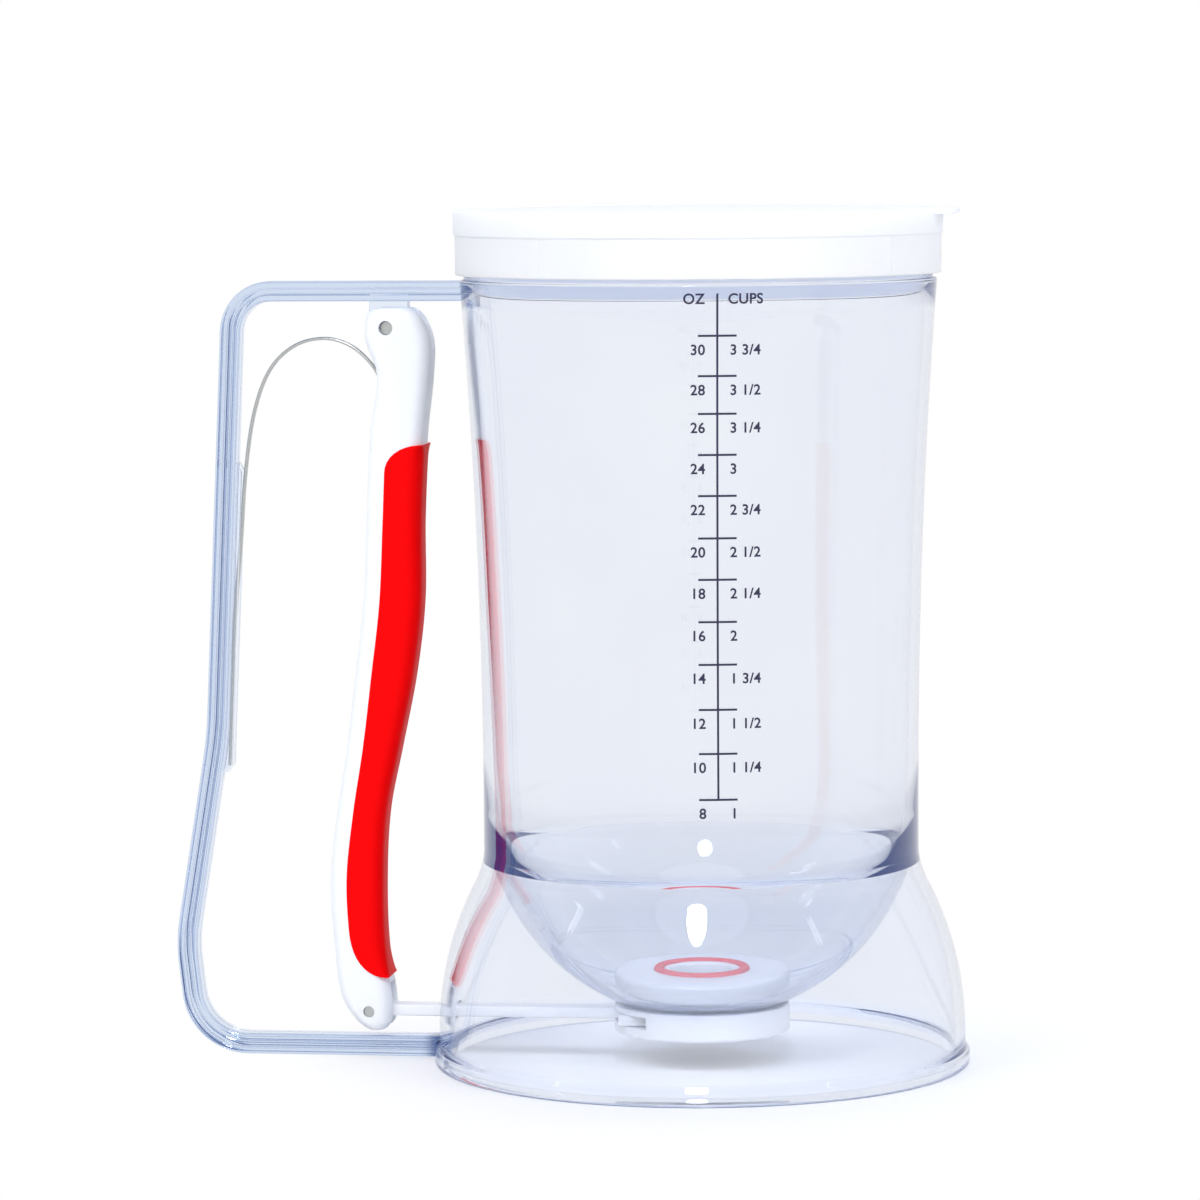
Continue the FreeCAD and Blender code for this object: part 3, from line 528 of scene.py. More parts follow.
def combine(piece, other, operation="DIFFERENCE"):
    """Cuts the second closed piece out of the first, or joins them, and removes the second."""
    boolean = piece.modifiers.new("combine", "BOOLEAN")
    boolean.object = other
    boolean.operation = operation
    boolean.solver = "EXACT"
    apply_modifiers(piece)
    old = other.data
    bpy.data.objects.remove(other)
    bpy.data.meshes.remove(old)
    shade(piece.data)


def sweep_rings(route, section):
    """Places a section of (across, sideways) along a route in the XZ plane."""
    rings = []
    for number, point in enumerate(route):
        before = route[max(number - 1, 0)]
        after = route[min(number + 1, len(route) - 1)]
        along = Vector((after[0] - before[0], after[1] - before[1])).normalized()
        rings.append([(point[0] + along.y * out, side, point[1] - along.x * out) for out, side in section])
    return rings


# Clear jug: barrel, funnel and base in one piece

def skirt_curves():
    """Outer curve of the flared base, upwards from the foot wall, and its inner curve, downwards."""
    reach = BULGE_RADIUS + FLARE_RADIUS
    step = FOOT_WALL - WAIST_RADIUS
    flare_height = FOOT_BEND + math.sqrt((2 * reach - step) * step)
    flare = (WAIST_RADIUS + FLARE_RADIUS, flare_height)
    bulge = (FOOT_WALL - BULGE_RADIUS, FOOT_BEND)
    lean = angle_of(bulge, flare)
    outer = arc(bulge, BULGE_RADIUS, 0, lean, BULGE_STEPS)
    outer += arc(flare, FLARE_RADIUS, 180 + lean, 180, FLARE_STEPS)[1:]
    weld = 180 + math.degrees(math.asin((flare_height - WELD_HEIGHT) / (FLARE_RADIUS + WALL)))
    inner = arc(flare, FLARE_RADIUS + WALL, weld, 180 + lean, INNER_FLARE_STEPS)
    inner += arc(bulge, BULGE_RADIUS - WALL, lean, 0, BULGE_STEPS)[1:]
    return outer, inner


def side_lean(height):
    """How far the barrel's side leans out at a height: one long arc from waist to shoulder."""
    rise = SHOULDER_HEIGHT - WAIST_HEIGHT
    lean = SHOULDER_RADIUS - WAIST_RADIUS
    radius = (rise * rise + lean * lean) / (2 * lean)
    return radius - math.sqrt(radius * radius - max(height - WAIST_HEIGHT, 0.0) ** 2)


def side_arc(inset):
    heights = [WAIST_HEIGHT + (SHOULDER_HEIGHT - WAIST_HEIGHT) * step / SIDE_STEPS
               for step in range(SIDE_STEPS + 1)]
    return [(WAIST_RADIUS - inset + side_lean(height), height) for height in heights]


def jug_outline():
    """From the spigot hole along the bowl's underside, round the foot, up to the rim and back inside."""
    outer, inner = skirt_curves()
    middle = (0.0, BOWL_CENTRE)
    floor_under = BOWL_CENTRE - math.sqrt(BOWL_RADIUS ** 2 - FLOOR_RADIUS ** 2)
    floor_top = floor_under + WALL
    bowl_inner = BOWL_RADIUS - WALL
    start = angle_of(middle, (FLOOR_RADIUS, floor_under))
    stop = -math.degrees(math.asin((BOWL_CENTRE - WELD_HEIGHT) / BOWL_RADIUS))
    floor_inner = math.sqrt(bowl_inner ** 2 - (BOWL_CENTRE - floor_top) ** 2)
    outline = [(SPIGOT_RADIUS + SPIGOT_ROOM, floor_under)]
    outline += arc(middle, BOWL_RADIUS, start, stop, BOWL_STEPS) + inner
    outline += rounded(FOOT_CORNERS, closed=False)
    outline += outer + side_arc(0.0)[:-1]
    outline += rounded(SHOULDER_CORNERS, closed=False)
    outline.append((SHOULDER_RADIUS - WALL - SHOULDER_JOIN / 2, SHOULDER_HEIGHT + SHOULDER_JOIN))
    outline += [(x, z) for x, z in reversed(side_arc(WALL)) if z < SHOULDER_HEIGHT - SHOULDER_JOIN]
    outline += arc(middle, bowl_inner, 0, angle_of(middle, (floor_inner, floor_top)), INNER_BOWL_STEPS)
    outline.append((SPIGOT_RADIUS + SPIGOT_ROOM, floor_top))
    return outline


def make_jug():
    jug = turn_piece("clear_jug", jug_outline(), JUG_SEGMENTS)
    beside, above = BASE_SLOT_ROOM
    slot = box_outline(-BAR_HALF - beside, GATE_HEIGHT - above, BAR_HALF + beside, GATE_HEIGHT + above,
                       BASE_SLOT_ROUNDING)
    combine(jug, loft_piece("slot", [[(x, a, b) for a, b in slot] for x in BASE_SLOT_REACH]))
    return jug


# Hoop handle, a clear piece of its own

def bar_x(height):
    """Centre of the hoop's upright at a height above its upper bend."""
    (x0, z0), (x1, z1) = HOOP_ROUTE[1], HOOP_ROUTE[2]
    return x0 + (x1 - x0) * (z0 - height) / (z0 - z1)


def hoop_section():
    """Rounded bar with two shallow grooves along its front and its back."""
    half_t = BAR_THICKNESS / 2
    half_d = BAR_DEPTH / 2
    side = [(-half_t, -half_d, BAR_CORNER)]
    for place in (-BAR_GROOVE, BAR_GROOVE):
        side += [(place - GROOVE_HALF, -half_d, GROOVE_CORNER), (place, GROOVE_DEPTH - half_d, GROOVE_CORNER),
                 (place + GROOVE_HALF, -half_d, GROOVE_CORNER)]
    side.append((half_t, -half_d, BAR_CORNER))
    return rounded(side + [(-x, -y, r) for x, y, r in side])


def make_hoop_seat():
    """The jug's outside as a full solid, a hair larger, which shapes the ends of the hoop."""
    outline = list(HOOP_SEAT_FOOT) + skirt_curves()[0] + side_arc(0.0)[:-1]
    outline += [(SHOULDER_RADIUS, SHOULDER_HEIGHT), (SHOULDER_RADIUS, RIM_HEIGHT), (0.0, RIM_HEIGHT)]
    larger = [(x + HOOP_SEAT_HAIR if x else 0.0, z) for x, z in outline]
    return turn_piece("hoop_seat", larger, JUG_SEGMENTS)


def make_hoop():
    bends = [(x, z, r) for (x, z), r in zip(HOOP_ROUTE[1:-1], HOOP_RADII)]
    route = rounded([HOOP_ROUTE[0], *bends, HOOP_ROUTE[-1]], closed=False, steps=HOOP_STEPS)
    hoop = loft_piece("hoop", sweep_rings(spread(route, HOOP_RUN), hoop_section()))
    left, right = PIVOT[0] - LUG_RADIUS, PIVOT[0] + LUG_RADIUS
    low = PIVOT[1] - LUG_RADIUS
    lug = rounded([(left, TOP_BAR), (left, low, LUG_RADIUS), (right, low, LUG_RADIUS), (right, TOP_BAR)])
    combine(hoop, slab_piece("lug", lug, -LUG_THICKNESS / 2, LUG_THICKNESS / 2), "UNION")
    face = BAR_THICKNESS / 2
    guide = rounded([
        (bar_x(GUIDE_END) + face - GUIDE_SUNK, GUIDE_END - GUIDE_FOOT_RUN, GUIDE_END_ROUNDING),
        (bar_x(GUIDE_END) + face + GUIDE_RISE, GUIDE_END, GUIDE_ROUNDING),
        (bar_x(GUIDE_TOP) + face + GUIDE_RISE, GUIDE_TOP, GUIDE_ROUNDING),
        (bar_x(GUIDE_TOP) + face - GUIDE_SUNK, GUIDE_TOP + GUIDE_HEAD_RUN, GUIDE_END_ROUNDING)])
    near = STRIP_WIDTH / 2 + SIDE_ROOM
    for side in (-1, 1):
        low, high = sorted((side * near, side * (near + GUIDE_WIDTH)))
        combine(hoop, slab_piece("guide", guide, low, high), "UNION")
    combine(hoop, make_hoop_seat())
    return hoop


# Lever, grip, pins and spring

def lever_edges(height):
    """X of the lever's back face and of its jug-side face at a height."""
    share = (height - LEVER_DATUM) / (PIVOT[1] - LEVER_DATUM)
    line = EYE[0] + (PIVOT[0] - EYE[0]) * share
    back = smooth_value([(a, b) for a, b, c in LEVER_STATIONS], share)
    front = smooth_value([(a, c) for a, b, c in LEVER_STATIONS], share)
    return line - back, line + front


def section_ring(x0, x1, half, height, rounding, back_rounding=None):
    """Rounded section across the lever; the back corners may have a rounding of their own."""
    front = min(rounding, (x1 - x0) * EDGE_SHARE, half * EDGE_SHARE * 2)
    back = front if back_rounding is None else min(back_rounding, (x1 - x0) * EDGE_SHARE)
    outline = []
    for start, radius, x, y in ((0, front, x1 - front, half - front), (90, back, x0 + back, half - back),
                                (180, back, x0 + back, back - half), (270, front, x1 - front, front - half)):
        outline += arc((x, y), radius, start, start + 90, SECTION_STEPS)
    return [(x, y, height) for x, y in outline]


def section_heights(low, top, foot_end, head_end):
    """Heights of the sections, closer together in the two ends. An end is its reach and its steps."""
    (foot, foot_steps), (head, head_steps) = foot_end, head_end
    start, stop = low + foot, top - head
    count = max(2, round((stop - start) / LEVER_RUN))
    heights = [low + foot * (1 - math.cos(math.pi / 2 * n / foot_steps)) for n in range(foot_steps)]
    heights += [start + (stop - start) * n / count for n in range(count + 1)]
    heights += [stop + head * math.sin(math.pi / 2 * n / head_steps) for n in range(1, head_steps + 1)]
    return heights


def end_rounding(height, low, top, reach):
    """How far a section shrinks near a rounded end."""
    gap = min(height - low, top - height)
    if gap >= reach:
        return 0.0
    return reach - math.sqrt(max(reach * reach - (reach - gap) ** 2, 0.0))


def make_lever():
    top = LEVER_DATUM + (PIVOT[1] - LEVER_DATUM) * LEVER_STATIONS[-1][0] + LEVER_CROWN
    rings = []
    for height in section_heights(LEVER_DATUM, top, LEVER_FOOT_END, LEVER_HEAD_END):
        x0, x1 = lever_edges(height)
        shrink = end_rounding(height, LEVER_DATUM, top, LEVER_END_REACH)
        half = LEVER_DEPTH / 2 - shrink * LEVER_END_SIDES
        rings.append(section_ring(x0 + shrink, x1 - shrink, half, height, LEVER_ROUNDING))
    lever = loft_piece("lever_arm", rings, LEVER_SHARP_ANGLE)
    fork = LUG_RADIUS + SIDE_ROOM
    head_slot = box_outline(PIVOT[0] - FORK_REACH, PIVOT[1] - fork, PIVOT[0] + FORK_REACH,
                            PIVOT[1] + FORK_TOP)
    back, low, front, high = FOOT_SLOT
    foot_slot = box_outline(EYE[0] + back, low, EYE[0] + front, high, FOOT_SLOT_ROUNDING)
    for name, outline, thickness in (("head_slot", head_slot, LUG_THICKNESS),
                                     ("foot_slot", foot_slot, BAR_HALF * 2),
                                     ("anchor_slot", ANCHOR_SLOT, STRIP_WIDTH)):
        half = thickness / 2 + SIDE_ROOM
        combine(lever, slab_piece(name, outline, -half, half))
    for centre, radius in ((PIVOT, PIVOT_BORE), (EYE, LINK_BORE)):
        bore = arc(centre, radius, 0, 360, BORE_STEPS)[:-1]
        combine(lever, slab_piece("bore", bore, -BORE_REACH, BORE_REACH))
    return lever


def make_grip():
    """Soft grip: the lever's jug side, set in from the back, with round ends."""
    rings = []
    for height in section_heights(GRIP_LOW, GRIP_TOP, GRIP_FOOT_END, GRIP_HEAD_END):
        x0, x1 = lever_edges(height)
        x0 += GRIP_INSET
        x1 += GRIP_PROUD
        width = x1 - x0 - GRIP_END_WIDTH
        for gap, reach in ((height - GRIP_LOW, GRIP_FOOT_END[0]), (GRIP_TOP - height, GRIP_HEAD_END[0])):
            part = max(0.0, 1 - gap / reach)
            x0 += width * (1 - math.sqrt(max(0.0, 1 - part ** GRIP_END_POWER)))
        rings.append(section_ring(x0, x1, LEVER_DEPTH / 2 + GRIP_PROUD, height, GRIP_ROUNDING,
                                  GRIP_BACK_ROUNDING))
    return loft_piece("soft_grip", rings, LEVER_SHARP_ANGLE)


def make_pin(name, centre, radius, half_length):
    outline = rounded([(0.0, -half_length), (radius, -half_length, PIN_ROUNDING),
                       (radius, half_length, PIN_ROUNDING), (0.0, half_length)], closed=False)
    return turn_piece(name, outline, PIN_SEGMENTS,
                      lambda x, z, along: to_world(centre[0] + x, along, centre[1] + z))


def make_spring():
    rest = BAR_THICKNESS / 2 + STRIP_GAP + STRIP_THICKNESS / 2
    low = [(bar_x(height) + rest, height) for height in STRIP_FLAT]
    half_t, half_w = STRIP_THICKNESS / 2, STRIP_WIDTH / 2
    section = box_outline(-half_t, -half_w, half_t, half_w, STRIP_ROUNDING, STRIP_CORNER_STEPS)
    route = smooth_route(low + list(STRIP_ARCH), STRIP_RUN)
    return loft_piece("spring_strip", sweep_rings(route, section), LEVER_SHARP_ANGLE)


# Gate and valve

def make_gate():
    nose = arc((GATE_NOSE - GATE_HALF, 0), GATE_HALF, -90, 90, GATE_NOSE_STEPS)
    far = EYE[0] + BAR_END
    outline = nose + [(GATE_TAIL, GATE_HALF), (GATE_TAIL, BAR_HALF), (far, BAR_HALF), (far, -BAR_HALF),
                      (GATE_TAIL, -BAR_HALF), (GATE_TAIL, -GATE_HALF)]
    gate = slab_piece("gate_bar", outline, GATE_UNDER, GATE_TOP, "XY", GATE_ROUNDING)
    left, right = EYE[0] - EYE_HALF, EYE[0] + EYE_HALF
    flare = arc((right + EYE_FLARE, GATE_TOP + EYE_FLARE), EYE_FLARE, 270, 180, EYE_FLARE_STEPS)
    eye = [(left, GATE_UNDER), (right + EYE_FLARE, GATE_UNDER)] + flare + [(left, GATE_TOP + EYE_FLARE)]
    combine(gate, slab_piece("eye", eye, -BAR_HALF, BAR_HALF, "XZ", EYE_ROUNDING), "UNION")
    slot = box_outline(EYE[0] - EYE_SLOT_HALF, EYE_SLOT_LOW, EYE[0] + EYE_SLOT_HALF, EYE[1] + EYE_SLOT_TOP,
                       EYE_SLOT_ROUNDING)
    combine(gate, slab_piece("eye_slot", slot, -EYE_SLOT_REACH, EYE_SLOT_REACH))
    return gate


def make_seat():
    bore = OUTLET_RADIUS + SEAT_RECESS
    inside, lip = OUTLET_RADIUS + SEAT_LIP, SEAT_TOP + SEAT_LIP
    flange = SEAL_FLANGE + SEAL_ROOM
    return turn_piece("outlet_ring", rounded([
        (bore, SEAT_UNDER, 0.2), (SPIGOT_RADIUS, SEAT_UNDER, 0.3), (SPIGOT_RADIUS, SEAT_LEDGE),
        (SEAT_RIM[0], SEAT_LEDGE), (SEAT_RADIUS, SEAT_RIM[1], 0.3), (SEAT_RADIUS, SEAT_TOP, 1.1),
        (flange, SEAT_TOP, 0.2), (flange, SEAT_GROOVE), (SEAL_RING, SEAT_GROOVE),
        (SEAL_RING, lip, 0.2), (inside, lip, 0.6), (inside, SEAT_NECK, 0.2), (bore, SEAT_NECK)]),
        VALVE_SEGMENTS)


def make_seal():
    inner = SEAL_RING + SEAL_ROOM
    return turn_piece("seal_sleeve", rounded([
        (inner, SEAT_GROOVE, 0.1), (SEAL_FLANGE, SEAT_GROOVE, 0.1), (SEAL_FLANGE, SEAL_TOP, 0.7),
        (inner, SEAL_TOP, 0.7)]), VALVE_SEGMENTS)


def make_housing():
    channel = GATE_UNDER - CHANNEL_ROOM
    ring = SPIGOT_RADIUS + HOUSING_RING
    spigot = SPIGOT_RADIUS + HOUSING_ROOM
    cup = turn_piece("valve_cup", rounded([
        (OUTLET_RADIUS, HOUSING_UNDER, 0.5), (HOUSING_RADIUS, HOUSING_UNDER, 0.8),
        (HOUSING_RADIUS, HOUSING_RIM[0], 0.4), (ring + 0.1, HOUSING_RIM[1]), (ring, GASKET_LOW),
        (spigot, GASKET_LOW, 0.2), (spigot, channel), (OUTLET_RADIUS, channel, 0.3)]), CUP_SEGMENTS)
    opening = box_outline(-WINDOW_HALF, channel, WINDOW_HALF, GATE_HEIGHT + CHANNEL_TOP, CHANNEL_ROUNDING)
    combine(cup, loft_piece("gate_channel", [[(x, y, z) for y, z in opening] for x in CHANNEL_REACH]))
    return cup


def make_gasket():
    inner = SPIGOT_RADIUS + SPIGOT_ROOM
    return turn_piece("floor_gasket", box_outline(inner, GASKET_LOW, inner + GASKET_WIDTH, GASKET_TOP, 0.2),
                      GASKET_SEGMENTS)


# Lid

def make_lid():
    plug_out = NECK_INNER - LID_ROOM
    plug_in = plug_out - PLUG_WALL
    over_neck = NECK_RADIUS + LID_ROOM
    lid = turn_piece("cap_shell", rounded([
        (0.0, RIM_HEIGHT), (plug_in, RIM_HEIGHT, 0.3), (plug_in, PLUG_LOW, 0.4), (plug_out, PLUG_LOW, 0.4),
        (plug_out, RIM_HEIGHT, 0.1), (over_neck, RIM_HEIGHT, 0.2), (over_neck, LID_LOW, 0.4),
        (LID_SIDE, LID_LOW, 0.5), (LID_SIDE, LID_BAND, 0.3), (LID_RADIUS, LID_BAND + 0.3, 0.3),
        (LID_RADIUS, LID_TOP, 0.6), (0.0, LID_TOP)]), JUG_SEGMENTS)
    combine(lid, slab_piece("tab", rounded(TAB_CORNERS), TAB_UNDER, TAB_TOP, "XY", TAB_ROUNDING), "UNION")
    groove = box_outline(LID_SIDE - LID_GROOVE_DEPTH, -LID_GROOVE_HALF, LID_SIDE + LID_GROOVE_PAST,
                         LID_GROOVE_HALF)
    for number in range(LID_GROOVES):
        angle = LID_GROOVE_START + FULL_TURN * number / LID_GROOVES
        turned = [(x * math.cos(angle) - y * math.sin(angle), x * math.sin(angle) + y * math.cos(angle))
                  for x, y in groove]
        combine(lid, slab_piece("groove", turned, LID_LOW - LID_GROOVE_PAST, LID_BAND + 0.1, "XY"))
    return lid


# Printed scale

def wrap(across, height, lift):
    """Point on the barrel's outside, across measured round the wall from the print's centre line."""
    radius = WAIST_RADIUS + side_lean(height)
    angle = PRINT_TURN + across / radius
    out = radius + lift
    return to_world(out * math.sin(angle), -out * math.cos(angle), height)


def print_strip(bm, across0, across1, height0, height1):
    """A printed line, as a thin closed strip that follows the wall."""
    columns = max(1, math.ceil(abs(across1 - across0) / PRINT_CELL[0]))
    rows = max(1, math.ceil(abs(height1 - height0) / PRINT_CELL[1]))
    grids = []
    for lift in (PRINT_LIFT, PRINT_LIFT + PRINT_THICKNESS):
        grids.append([[bm.verts.new(wrap(across0 + (across1 - across0) * c / columns,
                                         height0 + (height1 - height0) * r / rows, lift))
                       for c in range(columns + 1)] for r in range(rows + 1)])
    for grid in grids:
        for r in range(rows):
            for c in range(columns):
                bm.faces.new((grid[r][c], grid[r][c + 1], grid[r + 1][c + 1], grid[r + 1][c]))
    low, high = grids
    edge = [(0, c) for c in range(columns)] + [(r, columns) for r in range(rows)]
    edge += [(rows, c) for c in range(columns, 0, -1)] + [(r, 0) for r in range(rows, 0, -1)]
    for (r, c), (r2, c2) in zip(edge, edge[1:] + edge[:1]):
        bm.faces.new((low[r][c], low[r2][c2], high[r2][c2], high[r][c]))


def print_text(bm, words, across, height, align):
    """Lettering turned to mesh and wrapped on the wall."""
    curve = bpy.data.curves.new("lettering", "FONT")
    curve.body = words
    curve.size = LETTER_SIZE
    curve.align_x = align
    curve.align_y = "CENTER"
    curve.offset = LETTER_WEIGHT * LETTER_SIZE
    curve.space_character = LETTER_SPACING
    curve.extrude = PRINT_THICKNESS / 2
    holder = bpy.data.objects.new("lettering", curve)
    bpy.context.scene.collection.objects.link(holder)
    graph = bpy.context.evaluated_depsgraph_get()
    mesh = bpy.data.meshes.new_from_object(holder.evaluated_get(graph))
    part = bmesh.new()
    part.from_mesh(mesh)
    bmesh.ops.remove_doubles(part, verts=part.verts, dist=SAME_SPOT)
    verts = [bm.verts.new(wrap(across + v.co.x, height + v.co.y, PRINT_LIFT + PRINT_THICKNESS / 2 + v.co.z))
             for v in part.verts]
    for face in part.faces:
        bm.faces.new([verts[v.index] for v in face.verts])
    part.free()
    bpy.data.objects.remove(holder)
    bpy.data.curves.remove(curve)
    bpy.data.meshes.remove(mesh)


def print_pair(bm, height, spots, words):
    """Words either side of the scale's upright line."""
    for across, word, align in zip(spots, words, ("RIGHT", "LEFT")):
        print_text(bm, word, across, height, align)


def make_print():
    bm = bmesh.new()
    print_strip(bm, -LINE_HALF, LINE_HALF, TICKS[-1] - LINE_HALF, LINE_TOP)
    for ounces, height in zip(OUNCES, TICKS):
        print_strip(bm, -TICK_HALF, TICK_HALF, height - LINE_HALF, height + LINE_HALF)
        cups, part = divmod(ounces // 2, 4)
        words = " ".join(word for word in (str(cups), QUARTERS[part]) if word)
        print_pair(bm, height - LABEL_DROP, LABEL_SPOTS, (str(ounces), words))
    print_pair(bm, HEADING_HEIGHT, HEADING_SPOTS, ("OZ", "CUPS"))
    return finish_mesh("measuring_scale", bm)


# Shader nodes and groups

def feed(tree, node, inputs):
    """Fills a node's inputs, by name or number: a socket is linked, anything else is set as the value."""
    for key, value in inputs.items():
        if isinstance(value, bpy.types.NodeSocket):
            tree.links.new(value, node.inputs[key])
        else:
            node.inputs[key].default_value = value


def add_node(tree, kind, inputs=None, **settings):
    node = tree.nodes.new(kind)
    for setting, value in settings.items():
        setattr(node, setting, value)
    feed(tree, node, inputs or {})
    return node


def maths(tree, operation, *values):
    return add_node(tree, "ShaderNodeMath", dict(enumerate(values)), operation=operation).outputs[0]


def mix_colour(tree, factor, a, b):
    return add_node(tree, "ShaderNodeMix", {"Factor": factor, "A": a, "B": b},
                    data_type="RGBA").outputs["Result"]


def mix_shader(tree, factor, first, second):
    return add_node(tree, "ShaderNodeMixShader", {0: factor, 1: first, 2: second}).outputs["Shader"]


def map_range(tree, value, interpolation="LINEAR", **limits):
    inputs = {name.replace("_", " ").title(): limit for name, limit in limits.items()}
    return add_node(tree, "ShaderNodeMapRange", {"Value": value, **inputs},
                    interpolation_type=interpolation).outputs["Result"]


def object_place(tree):
    return add_node(tree, "ShaderNodeTexCoord").outputs["Object"]


def axis_distance(tree, place):
    """Distance in metres of a place from the foot of the jug's axis."""
    return add_node(tree, "ShaderNodeVectorMath", {0: place, 1: to_world(0, 0, 0)},
                    operation="DISTANCE").outputs["Value"]


def new_group(name, inputs, outputs):
    group = bpy.data.node_groups.new(name, "ShaderNodeTree")
    for label, kind, value in inputs:
        socket = group.interface.new_socket(label, in_out="INPUT", socket_type=kind)
        socket.default_value = value
    for label, kind in outputs:
        group.interface.new_socket(label, in_out="OUTPUT", socket_type=kind)
    return group, group.nodes.new("NodeGroupInput").outputs, group.nodes.new("NodeGroupOutput")


def moulded_skin():
    """Faint unevenness of moulded plastic: a height for bump, a roughness and a tone mask."""
    group, start, end = new_group("moulded_skin", [
        ("Grain Scale", "NodeSocketFloat", 900.0), ("Wave Scale", "NodeSocketFloat", 35.0),
        ("Base Roughness", "NodeSocketFloat", 0.3), ("Roughness Spread", "NodeSocketFloat", 0.08)],
        [("Height", "NodeSocketFloat"), ("Roughness", "NodeSocketFloat"), ("Tone", "NodeSocketFloat")])
    place = object_place(group)
    grain, wave = [
        add_node(group, "ShaderNodeTexNoise", {"Vector": place, "Scale": start[scale], "Detail": detail})
        .outputs["Fac"] for scale, detail in (("Grain Scale", 3.0), ("Wave Scale", 2.0))]
    centred = maths(group, "SUBTRACT", wave, 0.5)
    rough = maths(group, "MULTIPLY_ADD", centred, start["Roughness Spread"], start["Base Roughness"])
    height = maths(group, "MULTIPLY_ADD", grain, 0.25, wave)
    feed(group, end, {"Height": height, "Roughness": rough, "Tone": wave})
    return group


def edge_soil():
    """Colour that is paler on worn edges, with a faint lighter and darker tone."""
    group, start, end = new_group("edge_soil", [
        ("Colour", "NodeSocketColor", (0.8, 0.8, 0.8, 1.0)), ("Worn Colour", "NodeSocketColor", (1, 1, 1, 1)),
        ("Amount", "NodeSocketFloat", 0.3), ("Tone", "NodeSocketFloat", 0.5)],
        [("Colour", "NodeSocketColor")])
    pointed = add_node(group, "ShaderNodeNewGeometry").outputs["Pointiness"]
    worn = maths(group, "MULTIPLY", map_range(group, pointed, from_min=0.5, from_max=0.62), start["Amount"])
    colour = mix_colour(group, worn, start["Colour"], start["Worn Colour"])
    tone = map_range(group, start["Tone"], to_min=0.97, to_max=1.03)
    scaled = add_node(group, "ShaderNodeVectorMath", {"Vector": colour, "Scale": tone}, operation="SCALE")
    feed(group, end, {"Colour": scaled.outputs["Vector"]})
    return group


SKIN = moulded_skin()
SOIL = edge_soil()


# Materials

def new_material(name):
    material = bpy.data.materials.new(name)
    material.use_nodes = True
    return material, material.node_tree, material.node_tree.nodes["Principled BSDF"]


def moulded_material(name, colour, worn, amount, grain, roughness, spread, bump, **inputs):
    """Material with an edge tone in its colour, and the moulded skin's roughness and bump."""
    material, tree, shader = new_material(name)
    skin = add_node(tree, "ShaderNodeGroup", {
        "Grain Scale": grain, "Base Roughness": roughness, "Roughness Spread": spread}, node_tree=SKIN)
    feed(tree, shader, {"Roughness": skin.outputs["Roughness"]})
    if bump > 0:
        uneven = add_node(tree, "ShaderNodeBump", {
            "Strength": bump, "Distance": BUMP_DISTANCE, "Height": skin.outputs["Height"]})
        feed(tree, shader, {"Normal": uneven.outputs["Normal"]})
    soil = add_node(tree, "ShaderNodeGroup", {
        "Colour": (*colour, 1), "Worn Colour": (*worn, 1), "Amount": amount, "Tone": skin.outputs["Tone"]},
        node_tree=SOIL)
    feed(tree, shader, {"Base Color": soil.outputs["Colour"]})
    feed(tree, shader, {label.replace("_", " "): value for label, value in inputs.items()})
    return material


def clear_plastic(name, tint, density):
    """Polished clear plastic, faintly blue through its thickness. Light that only casts a shadow goes
    straight through, so that what stands inside is lit. Where a ray has been mirrored many times, as in a
    thick corner, the surface shows a painted deep blue glow instead of simulated light."""
    material = moulded_material(name, colour=(0.97, 0.98, 1.0), worn=(1.0, 1.0, 1.0), amount=0.0, grain=300.0,
                                roughness=0.012, spread=0.02, bump=0.02, Transmission_Weight=1.0,
                                IOR=CLEAR_IOR)
    tree = material.node_tree
    path = add_node(tree, "ShaderNodeLightPath").outputs
    # The navy below is painted: an emission colour for rays mirrored more than a few times inside
    painted_glow_mask = maths(tree, "GREATER_THAN", path["Glossy Depth"], TRAPPED_MIRRORINGS)
    painted_deep_glow = add_node(tree, "ShaderNodeEmission", {"Color": PAINTED_TRAPPED_GLOW}).outputs["Emission"]
    through = add_node(tree, "ShaderNodeBsdfTransparent", {"Color": SHADOW_TINT}).outputs["BSDF"]
    inner = mix_shader(tree, painted_glow_mask, tree.nodes["Principled BSDF"].outputs["BSDF"], painted_deep_glow)
    absorb = add_node(tree, "ShaderNodeVolumeAbsorption", {"Color": (*tint, 1), "Density": density})
    feed(tree, tree.nodes["Material Output"], {
        "Surface": mix_shader(tree, path["Is Shadow Ray"], inner, through),
        "Volume": absorb.outputs["Volume"]})
    return material


def darken_welds(material):
    """The last millimetres of the hoop, where it is welded to the jug, get painted navy shade in their
    colour.
    """
    tree = material.node_tree
    shader = tree.nodes["Principled BSDF"]
    spot = add_node(tree, "ShaderNodeSeparateXYZ", {0: object_place(tree)}).outputs
    wall = map_range(tree, spot["Z"], from_min=0.0, from_max=RIM_HEIGHT * MM,
                     to_min=to_world(-WELD_LOW, 0, 0)[0], to_max=to_world(-WELD_HIGH, 0, 0)[0])
    apart = maths(tree, "SUBTRACT", spot["X"], wall)
    fade = map_range(tree, apart, "SMOOTHSTEP", from_min=-WELD_LENGTH * MM, from_max=0.0)
    base = shader.inputs["Base Color"].links[0].from_socket
    # Painted navy shade mixed into the hoop's colour near its ends
    feed(tree, shader, {"Base Color": mix_colour(tree, fade, base, WELD_PAINTED_SHADE)})


